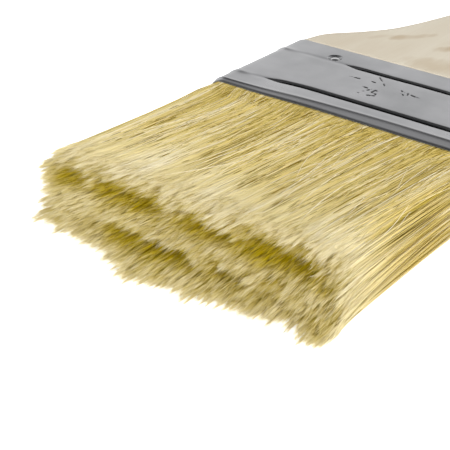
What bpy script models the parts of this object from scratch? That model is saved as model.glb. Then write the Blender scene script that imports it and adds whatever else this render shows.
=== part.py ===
"""Flat bristle paint brush, lying on its broad face.

Frame: +X across the width, +Y along the handle away from the bristle tips, +Z up
through the thickness.  The origin is under the middle of the whole brush, on the
surface that it lies on.  All sizes are in metres.

Places along the brush are given as a depth: the distance from the ferrule's mouth
into the ferrule and on along the handle.  The free bristle has negative depths.
"""
import math

import bmesh
import bpy

MM = 0.001

# Clearance between pieces that touch on the bench.
GAP = 0.3 * MM

# Ferrule: one wrapped strip of tinned steel, 75 mm wide outside.
FERRULE_WIDTH = 75.0 * MM
FERRULE_THICKNESS = 12.6 * MM
FERRULE_LENGTH = 34.5 * MM
FERRULE_CORNER_RADIUS = 3.9 * MM
SHEET = 0.5 * MM
LIP_LENGTH = 3.9 * MM
LIP_PRESS = 0.35 * MM
GROOVE_PRESS = 0.8 * MM
GROOVE_HALF_WIDTH = 0.95 * MM
FRONT_GROOVE_DEPTH = 8.8 * MM
REAR_GROOVE_DEPTH = 26.3 * MM
FRONT_GROOVE_FULL_X = 24.0 * MM
FRONT_GROOVE_END_X = 29.5 * MM
REAR_GROOVE_FULL_X = 12.0 * MM
REAR_GROOVE_END_X = 18.0 * MM

# Bristle: three layers, parted by two spacer strips inside the ferrule.
TUFT_LENGTH = 55.0 * MM
TUFT_LIFT = 0.4 * MM
TUFT_LIFT_RUN = 1.5 * MM
TUFT_SWELL = 3.13 * MM
TUFT_SWELL_POWER = 1.4
TUFT_WAIST = 1.7 * MM
TUFT_WAIST_RUN = 5.0 * MM
TUFT_FLARE = 2.6 * MM
TUFT_FLARE_POWER = 3.0
TUFT_END_ROUNDING = 0.82
LAYER_SPLIT = 0.38
BUTT_DEPTH = 12.3 * MM
TIP_SPLIT_GAP = 0.3 * MM
SPLIT_CLOSE_RUN = 8.0 * MM

SPACER_WIDTH = 62.0 * MM
SPACER_THICKNESS = 1.6 * MM
SPACER_MOUTH_DEPTH = 2.5 * MM

# Resin block that holds the butts of the bristle.
SETTING_START = BUTT_DEPTH + GAP
SETTING_END = 16.7 * MM

# Handle: one shaped board, its tongue inside the ferrule.
HANDLE_LENGTH = 125.0 * MM
TONGUE_START = SETTING_END + GAP
BOARD_CORNER_RADIUS = 2.8 * MM
SHOULDER_BLEND = 8.0 * MM
HANDLE_END_RADIUS = 15.0 * MM
HANG_HOLE_DIAMETER = 8.5 * MM
HANG_HOLE_FROM_END = 13.0 * MM

# Half width of the handle against its distance behind the ferrule's back edge.
HANDLE_OUTLINE = (
    (0.0 * MM, 37.2 * MM),
    (7.0 * MM, 34.2 * MM),
    (14.0 * MM, 28.1 * MM),
    (21.0 * MM, 23.1 * MM),
    (28.0 * MM, 20.1 * MM),
    (36.0 * MM, 17.6 * MM),
    (46.0 * MM, 15.0 * MM),
    (60.0 * MM, 12.8 * MM),
    (80.0 * MM, 12.6 * MM),
    (98.0 * MM, 14.4 * MM),
    (110.0 * MM, 15.0 * MM),
)

# Nails: two through each face of the ferrule, each head down in a dimple.
NAIL_X = 20.6 * MM
NAIL_DEPTH = 28.4 * MM
NAIL_HEAD_RADIUS = 1.2 * MM
NAIL_HEAD_THICKNESS = 0.4 * MM
NAIL_SHANK_RADIUS = 0.75 * MM
NAIL_SHANK_LENGTH = 4.4 * MM
NAIL_POINT_LENGTH = 0.9 * MM
NAIL_HOLE_RADIUS = NAIL_SHANK_RADIUS + GAP
DIMPLE_DEPTH = 0.75 * MM
DIMPLE_MOUTH_RADIUS = 1.9 * MM
DIMPLE_FLOOR_RADIUS = NAIL_HEAD_RADIUS + GAP
DIMPLE_BACK_RADIUS = DIMPLE_MOUTH_RADIUS + SHEET
NAIL_SIDES = 16

FLAT_STATIONS = 13
CORNER_STEPS = 4

OVERALL_LENGTH = TUFT_LENGTH + FERRULE_LENGTH + HANDLE_LENGTH
MOUTH_Y = TUFT_LENGTH - OVERALL_LENGTH / 2.0
BACK_DEPTH = FERRULE_LENGTH
MOUTH_PRESS = LIP_PRESS + SHEET + GAP
INNER_HALF = FERRULE_THICKNESS / 2.0 - SHEET - GAP
BOARD_HALF = FERRULE_THICKNESS / 2.0


def clear_scene():
    """Remove every object, so that only the brush is left."""
    for obj in list(bpy.data.objects):
        bpy.data.objects.remove(obj, do_unlink=True)


def material(name, colour, roughness, metallic=0.0):
    """Make a Principled material of one colour."""
    mat = bpy.data.materials.new(name)
    mat.use_nodes = True
    shader = mat.node_tree.nodes["Principled BSDF"]
    shader.inputs["Base Color"].default_value = (*colour, 1.0)
    shader.inputs["Roughness"].default_value = roughness
    shader.inputs["Metallic"].default_value = metallic
    mat.diffuse_color = (*colour, 1.0)
    return mat


def make_object(name, bm, mat):
    """Turn a bmesh into a named object with outward faces and smooth shading."""
    bmesh.ops.recalc_face_normals(bm, faces=bm.faces[:])
    mesh = bpy.data.meshes.new(name)
    bm.to_mesh(mesh)
    bm.free()
    mesh.materials.append(mat)
    mesh.shade_smooth()
    mesh.set_sharp_from_angle(angle=math.radians(35.0))
    obj = bpy.data.objects.new(name, mesh)
    bpy.context.scene.collection.objects.link(obj)
    return obj


def make_cutter(name, bm):
    """Turn a bmesh into a hidden object for a Boolean modifier."""
    obj = make_object(name, bm, material(name, (0.8, 0.2, 0.2), 0.6))
    obj.hide_render = True
    obj.display_type = "WIRE"
    return obj


def boolean(obj, other, operation):
    """Add an exact Boolean modifier to obj."""
    modifier = obj.modifiers.new(other.name, "BOOLEAN")
    modifier.operation = operation
    modifier.solver = "EXACT"
    modifier.object = other


def depth_to_y(depth):
    """World Y of a place given as a depth from the ferrule's mouth."""
    return MOUTH_Y + depth


def ramp(value, low, high):
    """Smooth step from 0 at low to 1 at high."""
    t = min(max((value - low) / (high - low), 0.0), 1.0)
    return t * t * (3.0 - 2.0 * t)


def groove_press(x, depth):
    """How far the two rolled grooves push the flat face in at x and depth."""
    front = max(0.0, 1.0 - abs(depth - FRONT_GROOVE_DEPTH) / GROOVE_HALF_WIDTH)
    rear = max(0.0, 1.0 - abs(depth - REAR_GROOVE_DEPTH) / GROOVE_HALF_WIDTH)
    front *= 1.0 - ramp(abs(x), FRONT_GROOVE_FULL_X, FRONT_GROOVE_END_X)
    rear *= 1.0 - ramp(abs(x), REAR_GROOVE_FULL_X, REAR_GROOVE_END_X)
    return GROOVE_PRESS * max(front, rear)


def lip_press(depth):
    """How far the mouth is squeezed in all round at this depth."""
    return LIP_PRESS * min(max(1.0 - depth / LIP_LENGTH, 0.0), 1.0)


def rounded_ring(half_width, half_height, radius, depth, pressed=True):
    """Points (x, y, z) round a rounded rectangle, the two flats pushed in by the grooves."""
    flat = half_width - radius
    rise = half_height - radius
    points = []
    for turn in range(4):
        sign_x = (1.0, -1.0, -1.0, 1.0)[turn]
        sign_z = (1.0, 1.0, -1.0, -1.0)[turn]
        for step in range(CORNER_STEPS + 1):
            share = step / CORNER_STEPS
            angle = math.radians(90.0 * (share if turn % 2 == 0 else 1.0 - share))
            x = sign_x * (flat + radius * math.cos(angle))
            z = sign_z * (rise + radius * math.sin(angle))
            points.append([x, z])
        if turn % 2 == 0:
            for station in range(1, FLAT_STATIONS - 1):
                share = 1.0 - 2.0 * station / (FLAT_STATIONS - 1)
                x = sign_x * flat * share
                push = groove_press(x, depth) if pressed else 0.0
                points.append([x, sign_z * (half_height - push)])
    mid_z = tuft_half_height(TUFT_LENGTH)
    return [(x, depth_to_y(depth), mid_z + z) for x, z in points]


def ferrule_ring(depth, inset):
    """Ring of the ferrule's section, drawn in from its outer face by inset."""
    press = lip_press(depth) + inset
    half_height = FERRULE_THICKNESS / 2.0 - press
    half_width = FERRULE_WIDTH / 2.0 - press
    return rounded_ring(half_width, half_height, FERRULE_CORNER_RADIUS - press, depth)


def add_ring(bm, points):
    """Add one ring of vertices."""
    return [bm.verts.new(point) for point in points]


def bridge(bm, first, second):
    """Join two rings of the same count with four-sided faces."""
    count = len(first)
    for index in range(count):
        after = (index + 1) % count
        bm.faces.new((first[index], first[after], second[after], second[index]))


def loft(rings):
    """Closed solid through a list of rings, capped at both ends."""
    bm = bmesh.new()
    loops = [add_ring(bm, points) for points in rings]
    for first, second in zip(loops, loops[1:]):
        bridge(bm, first, second)
    bm.faces.new(loops[0])
    bm.faces.new(loops[-1])
    return bm


def groove_depths(centre):
    """The three depths that draw one groove: its two edges and its bottom."""
    return [centre - GROOVE_HALF_WIDTH, centre, centre + GROOVE_HALF_WIDTH]


def tuft_half_height(out):
    """Half thickness of the free bristle at a distance out from the mouth."""
    at_mouth = FERRULE_THICKNESS / 2.0 - MOUTH_PRESS
    lift = TUFT_LIFT * (1.0 - math.exp(-out / TUFT_LIFT_RUN))
    return at_mouth + lift + TUFT_SWELL * (out / TUFT_LENGTH) ** TUFT_SWELL_POWER


def tuft_half_width(out):
    """Half width of the free bristle at a distance out from the mouth."""
    at_mouth = FERRULE_WIDTH / 2.0 - MOUTH_PRESS
    waist = TUFT_WAIST * (1.0 - math.exp(-out / TUFT_WAIST_RUN))
    return at_mouth - waist + TUFT_FLARE * (out / TUFT_LENGTH) ** TUFT_FLARE_POWER


def split_gap(x, out):
    """Half the open space between two bristle layers."""
    inside = SPACER_THICKNESS / 2.0 + GAP
    middle = TIP_SPLIT_GAP + (inside - TIP_SPLIT_GAP) * math.exp(-max(out, 0.0) / SPLIT_CLOSE_RUN)
    past_spacer = ramp(abs(x), SPACER_WIDTH / 2.0 + GAP, SPACER_WIDTH / 2.0 + 5.0 * GAP)
    return middle + (GAP / 2.0 - middle) * past_spacer


def tuft_section(depth):
    """Half width, half thickness and corner radius of the whole tuft at a depth."""
    if depth > 0.0:
        press = lip_press(depth) + SHEET + GAP
        half_height = FERRULE_THICKNESS / 2.0 - press
        return FERRULE_WIDTH / 2.0 - press, half_height, FERRULE_CORNER_RADIUS - press
    half_height = tuft_half_height(-depth)
    at_mouth = FERRULE_CORNER_RADIUS - MOUTH_PRESS
    rounding = ramp(-depth, 0.0, TUFT_LENGTH)
    radius = at_mouth + (TUFT_END_ROUNDING * half_height - at_mouth) * rounding
    return tuft_half_width(-depth), half_height, radius


def end_x(section, z):
    """Half width of a rounded section at height z."""
    half_width, half_height, radius = section
    above = max(abs(z) - (half_height - radius), 0.0)
    return half_width - radius + math.sqrt(max(radius**2 - above**2, 0.0))


def broad_side(section, depth, share, direction):
    """Row of points (x, z) from +X to -X along one broad side of a layer."""
    half_width, half_height, radius = section
    if abs(share) == 1.0:
        row = []
        for station in range(FLAT_STATIONS):
            x = (half_width - radius) * (1.0 - 2.0 * station / (FLAT_STATIONS - 1))
            push = groove_press(x, depth) if depth > 0.0 else 0.0
            row.append((x, share * (half_height - push)))
        return row
    height = share * (INNER_HALF if depth > 0.0 else half_height)
    held = SPACER_WIDTH / 2.0 + GAP
    past = SPACER_WIDTH / 2.0 + 5.0 * GAP
    stations = (past, held, held / 2.0, 0.0, -held / 2.0, -held, -past)
    return [(x, height + direction * split_gap(x, max(-depth, 0.0))) for x in stations]


def layer_ring(depth, low, high):
    """Ring of one bristle layer between two shares of the half thickness.

    low and high run from -1, the underside of the tuft, to +1, its upper side.
    """
    section = tuft_section(depth)
    half_height = section[1]
    scale = INNER_HALF if depth > 0.0 else half_height
    lower = -half_height if low == -1.0 else low * scale + GAP / 2.0
    upper = half_height if high == 1.0 else high * scale - GAP / 2.0
    right = []
    for step in range(CORNER_STEPS + 1):
        share = step / CORNER_STEPS
        if high == 1.0:
            share = math.sin(share * math.pi / 2.0)
        if low == -1.0:
            share = 1.0 - math.cos(share * math.pi / 2.0)
        z = lower + (upper - lower) * share
        right.append((end_x(section, z), z))
    if high == 1.0:
        right = right[:-1]
    if low == -1.0:
        right = right[1:]
    left = [(-x, z) for x, z in reversed(right)]
    top = broad_side(section, depth, high, -1.0)
    bottom = broad_side(section, depth, low, 1.0)
    mid_z = tuft_half_height(TUFT_LENGTH)
    return [(x, depth_to_y(depth), mid_z + z) for x, z in right + top + left + bottom[::-1]]


def smooth_outline(stations, distance):
    """Read a smooth curve through (distance, value) stations."""
    for index in range(len(stations) - 1):
        (x0, y0), (x1, y1) = stations[index], stations[index + 1]
        if distance > x1:
            continue
        before = stations[max(index - 1, 0)]
        after = stations[min(index + 2, len(stations) - 1)]
        slope0 = (y1 - before[1]) / (x1 - before[0])
        slope1 = (after[1] - y0) / (after[0] - x0)
        run = x1 - x0
        t = (distance - x0) / run
        curve = (2 * t**3 - 3 * t**2 + 1) * y0 + (3 * t**2 - 2 * t**3) * y1
        lean = (t**3 - 2 * t**2 + t) * slope0 + (t**3 - t**2) * slope1
        return curve + run * lean
    return stations[-1][1]


def build_ferrule(mat):
    """Wrapped steel sleeve with a squeezed lip, two grooves and four nail dimples."""
    depths = [0.0, LIP_LENGTH]
    depths += groove_depths(FRONT_GROOVE_DEPTH) + groove_depths(REAR_GROOVE_DEPTH)
    depths += [BACK_DEPTH]
    bm = bmesh.new()
    outer = [add_ring(bm, ferrule_ring(depth, 0.0)) for depth in depths]
    inner = [add_ring(bm, ferrule_ring(depth, SHEET)) for depth in depths]
    for rings in (outer, inner):
        for first, second in zip(rings, rings[1:]):
            bridge(bm, first, second)
    bridge(bm, outer[0], inner[0])
    bridge(bm, outer[-1], inner[-1])
    return make_object("ferrule", bm, mat)


def turned(profile, sides=NAIL_SIDES):
    """Solid of revolution about Z through (radius, z) points, closed on the axis."""
    bm = bmesh.new()
    loops = []
    for radius, z in profile:
        ring = []
        for side in range(sides):
            angle = 2.0 * math.pi * side / sides
            ring.append((radius * math.cos(angle), radius * math.sin(angle), z))
        loops.append(add_ring(bm, ring))
    for first, second in zip(loops, loops[1:]):
        bridge(bm, first, second)
    bm.faces.new(loops[0])
    bm.faces.new(loops[-1])
    return bm


def place_on_face(obj, x, side):
    """Stand a turned piece on the ferrule's upper (+1) or lower (-1) face at a nail."""
    surface = FERRULE_THICKNESS / 2.0
    obj.location = (x, depth_to_y(NAIL_DEPTH), tuft_half_height(TUFT_LENGTH) + side * surface)
    if side < 0:
        obj.rotation_euler = (math.pi, 0.0, 0.0)


def nail_profile():
    """Nail with its domed head just under the surface at z = 0 and its point below."""
    under_head = -(DIMPLE_DEPTH - GAP)
    top = under_head + NAIL_HEAD_THICKNESS
    tip = under_head - NAIL_SHANK_LENGTH
    return (
        (NAIL_HEAD_RADIUS * 0.45, top),
        (NAIL_HEAD_RADIUS * 0.86, top - 0.12 * MM),
        (NAIL_HEAD_RADIUS, top - 0.25 * MM),
        (NAIL_HEAD_RADIUS, under_head),
        (NAIL_SHANK_RADIUS, under_head),
        (NAIL_SHANK_RADIUS, tip + NAIL_POINT_LENGTH),
        (NAIL_SHANK_RADIUS * 0.15, tip),
    )


def cut_nail_seats(ferrule, handle):
    """Press the four dimples, pierce the sheet and drill the tongue under them."""
    overshoot = 0.2 * MM
    seat_back = ((DIMPLE_BACK_RADIUS, -SHEET / 2.0), (DIMPLE_BACK_RADIUS, -(DIMPLE_DEPTH + SHEET)))
    slope = (DIMPLE_MOUTH_RADIUS - DIMPLE_FLOOR_RADIUS) / DIMPLE_DEPTH
    seat = (
        (DIMPLE_MOUTH_RADIUS + slope * overshoot, overshoot),
        (DIMPLE_FLOOR_RADIUS, -DIMPLE_DEPTH),
        (NAIL_HOLE_RADIUS, -DIMPLE_DEPTH),
        (NAIL_HOLE_RADIUS, -(DIMPLE_DEPTH + 2.0 * SHEET)),
    )
    pocket = DIMPLE_DEPTH + SHEET + GAP
    drill = pocket + NAIL_SHANK_LENGTH
    tongue = (
        (DIMPLE_BACK_RADIUS + GAP, overshoot),
        (DIMPLE_BACK_RADIUS + GAP, -pocket),
        (NAIL_HOLE_RADIUS, -pocket),
        (NAIL_HOLE_RADIUS, -drill),
    )
    for face, side in (("top", 1), ("bottom", -1)):
        for hand, x in (("left", -NAIL_X), ("right", NAIL_X)):
            label = f"{face}_{hand}"
            steps = (
                (ferrule, "dimple_back", seat_back, "UNION"),
                (ferrule, "dimple_seat", seat, "DIFFERENCE"),
                (handle, "nail_drilling", tongue, "DIFFERENCE"),
            )
            for target, kind, profile, operation in steps:
                cutter = make_cutter(f"{kind}_{label}", turned(profile))
                place_on_face(cutter, x, side)
                boolean(target, cutter, operation)


def build_nails(mat):
    """Four nails, two through each broad face."""
    for face, side in (("top", 1), ("bottom", -1)):
        for hand, x in (("left", -NAIL_X), ("right", NAIL_X)):
            nail = make_object(f"nail_{face}_{hand}", turned(nail_profile()), mat)
            place_on_face(nail, x, side)


def build_handle(mat):
    """Shaped board: grooved tongue in the ferrule, sloping shoulders, grip and round end."""
    rings = []
    depths = [TONGUE_START] + groove_depths(REAR_GROOVE_DEPTH) + [BACK_DEPTH + GAP]
    for depth in depths:
        rings.append(ferrule_ring(depth, SHEET + GAP))
    outline_end = HANDLE_OUTLINE[-1][0]
    behind = [GAP, 3.5 * MM, 7.0 * MM, 10.5 * MM, 14.0 * MM, 17.5 * MM, 21.0 * MM]
    behind += [28.0 * MM, 36.0 * MM, 46.0 * MM, 60.0 * MM, 70.0 * MM, 80.0 * MM, 98.0 * MM]
    behind += [outline_end]
    for distance in behind:
        half_width = smooth_outline(HANDLE_OUTLINE, distance)
        ease = ramp(distance, 0.0, SHOULDER_BLEND)
        radius = FERRULE_CORNER_RADIUS + (BOARD_CORNER_RADIUS - FERRULE_CORNER_RADIUS) * ease
        rings.append(rounded_ring(half_width, BOARD_HALF, radius, BACK_DEPTH + distance, False))
    for degrees in (18.0, 36.0, 52.0, 66.0):
        angle = math.radians(degrees)
        half_width = HANDLE_END_RADIUS * math.cos(angle)
        distance = outline_end + HANDLE_END_RADIUS * math.sin(angle)
        rings.append(
            rounded_ring(half_width, BOARD_HALF, BOARD_CORNER_RADIUS, BACK_DEPTH + distance, False)
        )
    half_width = HANDLE_END_RADIUS * math.cos(math.radians(74.0))
    height = BOARD_HALF - BOARD_CORNER_RADIUS / 2.0
    end_depth = BACK_DEPTH + HANDLE_LENGTH
    rings.append(rounded_ring(half_width, height, height / 2.0, end_depth, False))
    handle = make_object("handle", loft(rings), mat)

    radius = HANG_HOLE_DIAMETER / 2.0
    reach = FERRULE_THICKNESS
    hole = make_cutter("hang_hole_cutter", turned(((radius, reach), (radius, -reach)), 24))
    hole_y = depth_to_y(end_depth - HANG_HOLE_FROM_END)
    hole.location = (0.0, hole_y, tuft_half_height(TUFT_LENGTH))
    boolean(handle, hole, "DIFFERENCE")
    return handle


def build_setting(mat):
    """Block of cured resin across the whole inside of the ferrule."""
    rings = [ferrule_ring(depth, SHEET + GAP) for depth in (SETTING_START, SETTING_END)]
    return make_object("resin_setting", loft(rings), mat)


def build_spacers(mat):
    """Two strips that part the bristle layers inside the ferrule."""
    length = BUTT_DEPTH - SPACER_MOUTH_DEPTH
    for name, side in (("spacer_top", 1), ("spacer_bottom", -1)):
        bm = bmesh.new()
        bmesh.ops.create_cube(bm, size=1.0)
        bmesh.ops.scale(bm, vec=(SPACER_WIDTH, length, SPACER_THICKNESS), verts=bm.verts[:])
        spacer = make_object(name, bm, mat)
        mid_depth = SPACER_MOUTH_DEPTH + length / 2.0
        height = tuft_half_height(TUFT_LENGTH) + side * LAYER_SPLIT * INNER_HALF
        spacer.location = (0.0, depth_to_y(mid_depth), height)


def build_bristles(mat):
    """Three layers of bristle as plain closed solids, from their butts to their tips."""
    depths = [BUTT_DEPTH] + groove_depths(FRONT_GROOVE_DEPTH)[::-1] + [LIP_LENGTH, 0.0]
    for out in (3.0 * MM, 7.0 * MM, 13.0 * MM, 22.0 * MM, 36.0 * MM, TUFT_LENGTH):
        depths.append(-out)
    layers = (
        ("bristles_top", LAYER_SPLIT, 1.0),
        ("bristles_middle", -LAYER_SPLIT, LAYER_SPLIT),
        ("bristles_bottom", -1.0, -LAYER_SPLIT),
    )
    for name, low, high in layers:
        rings = [layer_ring(depth, low, high) for depth in depths]
        make_object(name, loft(rings), mat)


def main():
    """Build the whole brush."""
    clear_scene()
    steel = material("tinned_steel", (0.46, 0.46, 0.46), 0.38, 1.0)
    nail_steel = material("nail_steel", (0.55, 0.55, 0.54), 0.28, 1.0)
    wood = material("pale_wood", (0.68, 0.58, 0.43), 0.62)
    spacer_wood = material("spacer_wood", (0.56, 0.43, 0.27), 0.75)
    resin = material("cured_resin", (0.22, 0.13, 0.05), 0.35)
    bristle = material("hog_bristle", (0.68, 0.55, 0.24), 0.6)
    handle = build_handle(wood)
    ferrule = build_ferrule(steel)
    cut_nail_seats(ferrule, handle)
    build_nails(nail_steel)
    build_setting(resin)
    build_spacers(spacer_wood)
    build_bristles(bristle)


main()
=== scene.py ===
"""Looks of a flat bristle paint brush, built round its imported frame.

The row frame has +X across the brush, -Y toward the bristle tips and +Z up from the
surface that the brush lies on.  Sizes in the classes are in millimetres, and meshes are
written in metres.  A place along the brush is a depth from the ferrule's mouth toward
the handle, or a distance out from the mouth along the free bristle.
"""
import logging
import math
from dataclasses import dataclass, field
from enum import Enum

import bmesh
import bpy
import numpy as np
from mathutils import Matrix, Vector
from mathutils.kdtree import KDTree

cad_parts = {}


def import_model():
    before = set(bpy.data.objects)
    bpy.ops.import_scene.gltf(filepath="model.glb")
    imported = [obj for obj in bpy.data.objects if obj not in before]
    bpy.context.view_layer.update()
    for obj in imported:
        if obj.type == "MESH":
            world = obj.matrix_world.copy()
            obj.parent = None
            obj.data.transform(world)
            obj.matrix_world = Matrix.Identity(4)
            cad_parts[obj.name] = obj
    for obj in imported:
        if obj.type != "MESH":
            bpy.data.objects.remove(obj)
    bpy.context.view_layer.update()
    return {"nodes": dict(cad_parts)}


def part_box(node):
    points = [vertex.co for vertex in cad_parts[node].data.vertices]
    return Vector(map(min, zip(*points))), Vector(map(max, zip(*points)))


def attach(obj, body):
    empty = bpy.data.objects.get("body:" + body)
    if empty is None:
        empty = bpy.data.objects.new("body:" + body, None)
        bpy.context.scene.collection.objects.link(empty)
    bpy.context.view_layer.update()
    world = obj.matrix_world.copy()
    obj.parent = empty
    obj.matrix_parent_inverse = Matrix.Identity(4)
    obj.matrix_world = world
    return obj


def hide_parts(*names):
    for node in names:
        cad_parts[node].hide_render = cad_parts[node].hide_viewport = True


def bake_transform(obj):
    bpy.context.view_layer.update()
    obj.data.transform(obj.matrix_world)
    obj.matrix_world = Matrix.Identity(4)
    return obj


LOG = logging.getLogger("paint_brush")
MM = 0.001
Colour = tuple[float, float, float]

# Corner radius of the ferrule's section, and the nails' places across it and behind its mouth.
SLEEVE_CORNER = 3.9
NAIL_X = 20.6
NAIL_DEPTH = 28.4

# Height of the lines between the bristle layers, as a share of the half thickness.
PARTING = 0.38

# Least height of a bristle above the surface that the brush lies on.
FLOOR_CLEARANCE = 0.12

# Shares of a long bristle's run at which its rings lie.
LONG_STATIONS = (0.0, 0.07, 0.17, 0.32, 0.50, 0.68, 0.83, 0.94, 1.0)

# Tan figure in the board: place across and along, half width and length in metres, strength.
FIGURE_SPOTS = (
    (-0.0143, 0.0003, 0.0024, 0.0055, 0.85),
    (-0.0020, -0.0010, 0.0026, 0.0050, 0.95),
    (0.0020, -0.0125, 0.0095, 0.0060, 0.60),
    (-0.0205, -0.0045, 0.0022, 0.0040, 0.45),
    (0.0060, 0.0320, 0.0026, 0.0100, 0.60),
    (-0.0065, 0.0560, 0.0022, 0.0130, 0.50),
    (0.0060, 0.0790, 0.0020, 0.0100, 0.55),
)


class Face(Enum):
    """Broad face of the brush."""

    TOP = 1
    BOTTOM = -1


class Hand(Enum):
    """Narrow side of the brush."""

    LEFT = -1
    RIGHT = 1


class Layer(Enum):
    """One of the three bristle layers, by the shares of the half thickness that bound it."""

    TOP = ("top", PARTING, 1.0)
    MIDDLE = ("middle", -PARTING, PARTING)
    BOTTOM = ("bottom", -1.0, -PARTING)

    @property
    def label(self) -> str:
        """Name of the layer as the pieces use it."""
        return self.value[0]

    @property
    def low(self) -> float:
        """Lower bound as a share of the half thickness."""
        return self.value[1]

    @property
    def high(self) -> float:
        """Upper bound as a share of the half thickness."""
        return self.value[2]


def smooth(value: np.ndarray, low: float, high: float) -> np.ndarray:
    """Smooth step from 0 at low to 1 at high.

    Args:
        value: numbers to map.
        low: value that maps to 0.
        high: value that maps to 1.

    Returns:
        The eased shares.
    """
    t = np.clip((np.asarray(value, float) - low) / (high - low), 0.0, 1.0)
    return t * t * (3.0 - 2.0 * t)


def bump(value: np.ndarray, centre: float, spread: float) -> np.ndarray:
    """Bell curve of height 1.

    Args:
        value: numbers to map.
        centre: where the curve peaks.
        spread: distance at which it falls to about a third.

    Returns:
        The curve's heights.
    """
    return np.exp(-(((np.asarray(value, float) - centre) / spread) ** 2))


class Waves:
    """Smooth seeded noise of two variables, made of sine waves."""

    def __init__(self, seed: int, scale_x: float, scale_y: float, count: int = 14) -> None:
        """Draw the waves.

        Args:
            seed: start of the random draws.
            scale_x: typical wavelength along the first variable.
            scale_y: typical wavelength along the second variable.
            count: number of waves.
        """
        rng = np.random.default_rng(seed)
        self.step_x = rng.normal(0.0, 1.0, count) * 2.0 * math.pi / scale_x
        self.step_y = rng.normal(0.0, 1.0, count) * 2.0 * math.pi / scale_y
        self.phase = rng.uniform(0.0, 2.0 * math.pi, count)
        self.gain = math.sqrt(2.0 / count)

    def at(self, x: np.ndarray, y: np.ndarray) -> np.ndarray:
        """Read the noise.

        Args:
            x: first variable.
            y: second variable.

        Returns:
            Values of about unit spread round 0.
        """
        x, y = np.broadcast_arrays(np.asarray(x, float), np.asarray(y, float))
        turn = x[..., None] * self.step_x + y[..., None] * self.step_y + self.phase
        return np.sin(turn).sum(-1) * self.gain


@dataclass(frozen=True)
class Places:
    """Places of the brush in the row frame, in millimetres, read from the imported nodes."""

    mouth_y: float
    back_y: float
    tip_y: float
    end_y: float
    mid_z: float
    half_width: float
    half_thickness: float
    tip_half_height: float

    @classmethod
    def read(cls) -> "Places":
        """Read the places.

        Returns:
            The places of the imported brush.
        """
        sleeve_low, sleeve_high = (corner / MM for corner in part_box("ferrule"))
        _, handle_high = (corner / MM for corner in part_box("handle"))
        top_low, top_high = (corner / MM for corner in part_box("bristles_top"))
        under_low, _ = (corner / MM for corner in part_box("bristles_bottom"))
        return cls(
            mouth_y=sleeve_low.y,
            back_y=sleeve_high.y,
            tip_y=top_low.y,
            end_y=handle_high.y,
            mid_z=(sleeve_low.z + sleeve_high.z) / 2.0,
            half_width=(sleeve_high.x - sleeve_low.x) / 2.0,
            half_thickness=(sleeve_high.z - sleeve_low.z) / 2.0,
            tip_half_height=(top_high.z - under_low.z) / 2.0,
        )

    @property
    def tuft_length(self) -> float:
        """Free length of the bristle."""
        return self.mouth_y - self.tip_y


# ---------------------------------------------------------------------------- meshes


def write_mesh(
    name: str,
    points: np.ndarray,
    faces: list[np.ndarray],
    material: bpy.types.Material,
    attributes: dict[str, np.ndarray] | None = None,
) -> bpy.types.Object:
    """Make an object from arrays.

    Args:
        name: name of the piece.
        points: vertices in millimetres, one row each.
        faces: arrays of vertex numbers, one row a face, each array with its own count.
        material: finish of the piece.
        attributes: point attributes by name, one column for a value or three for a colour.

    Returns:
        The object, smooth shaded.
    """
    mesh = bpy.data.meshes.new(name)
    corners = np.concatenate([block.ravel() for block in faces])
    sizes = np.concatenate([np.full(len(block), block.shape[1]) for block in faces])
    starts = np.concatenate([[0], np.cumsum(sizes)[:-1]])
    mesh.vertices.add(len(points))
    mesh.vertices.foreach_set("co", (points * MM).astype(np.float32).ravel())
    mesh.loops.add(len(corners))
    mesh.loops.foreach_set("vertex_index", corners.astype(np.int32))
    mesh.polygons.add(len(sizes))
    mesh.polygons.foreach_set("loop_start", starts.astype(np.int32))
    mesh.update(calc_edges=True)
    mesh.validate()
    mesh.shade_smooth()
    for label, values in (attributes or {}).items():
        if values.ndim == 1:
            layer = mesh.attributes.new(label, "FLOAT", "POINT")
            layer.data.foreach_set("value", values.astype(np.float32))
        else:
            layer = mesh.attributes.new(label, "FLOAT_COLOR", "POINT")
            padded = np.concatenate([values, np.ones((len(values), 1))], axis=1)
            layer.data.foreach_set("color", padded.astype(np.float32).ravel())
    mesh.materials.append(material)
    piece = bpy.data.objects.new(name, mesh)
    bpy.context.scene.collection.objects.link(piece)
    return piece


def report(piece: bpy.types.Object) -> None:
    """Log a piece's name and size."""
    LOG.info("%s: %d faces", piece.name, len(piece.data.polygons))


def tube_faces(count: int, rings: int, sides: int) -> list[np.ndarray]:
    """Faces of closed tapered tubes whose points follow one another.

    Args:
        count: number of tubes.
        rings: rings in each tube, before its pointed tip.
        sides: sides of each tube.

    Returns:
        The walls, the pointed tips and the root caps.
    """
    each = rings * sides + 1
    first = np.arange(count)[:, None] * each
    here = np.arange(sides)
    after = (here + 1) % sides
    low = (np.arange(rings - 1)[:, None] * sides + here).ravel()
    low_after = (np.arange(rings - 1)[:, None] * sides + after).ravel()
    walls = np.stack([low, low + sides, low_after + sides, low_after], axis=-1)
    last = (rings - 1) * sides
    apex = np.full(sides, rings * sides)
    tips = np.stack([last + here, apex, last + after], axis=-1)
    walls = (first[:, :, None] + walls).reshape(-1, 4)
    tips = (first[:, :, None] + tips).reshape(-1, 3)
    caps = (first + here).reshape(-1, sides)
    return [walls, tips, caps]


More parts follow.
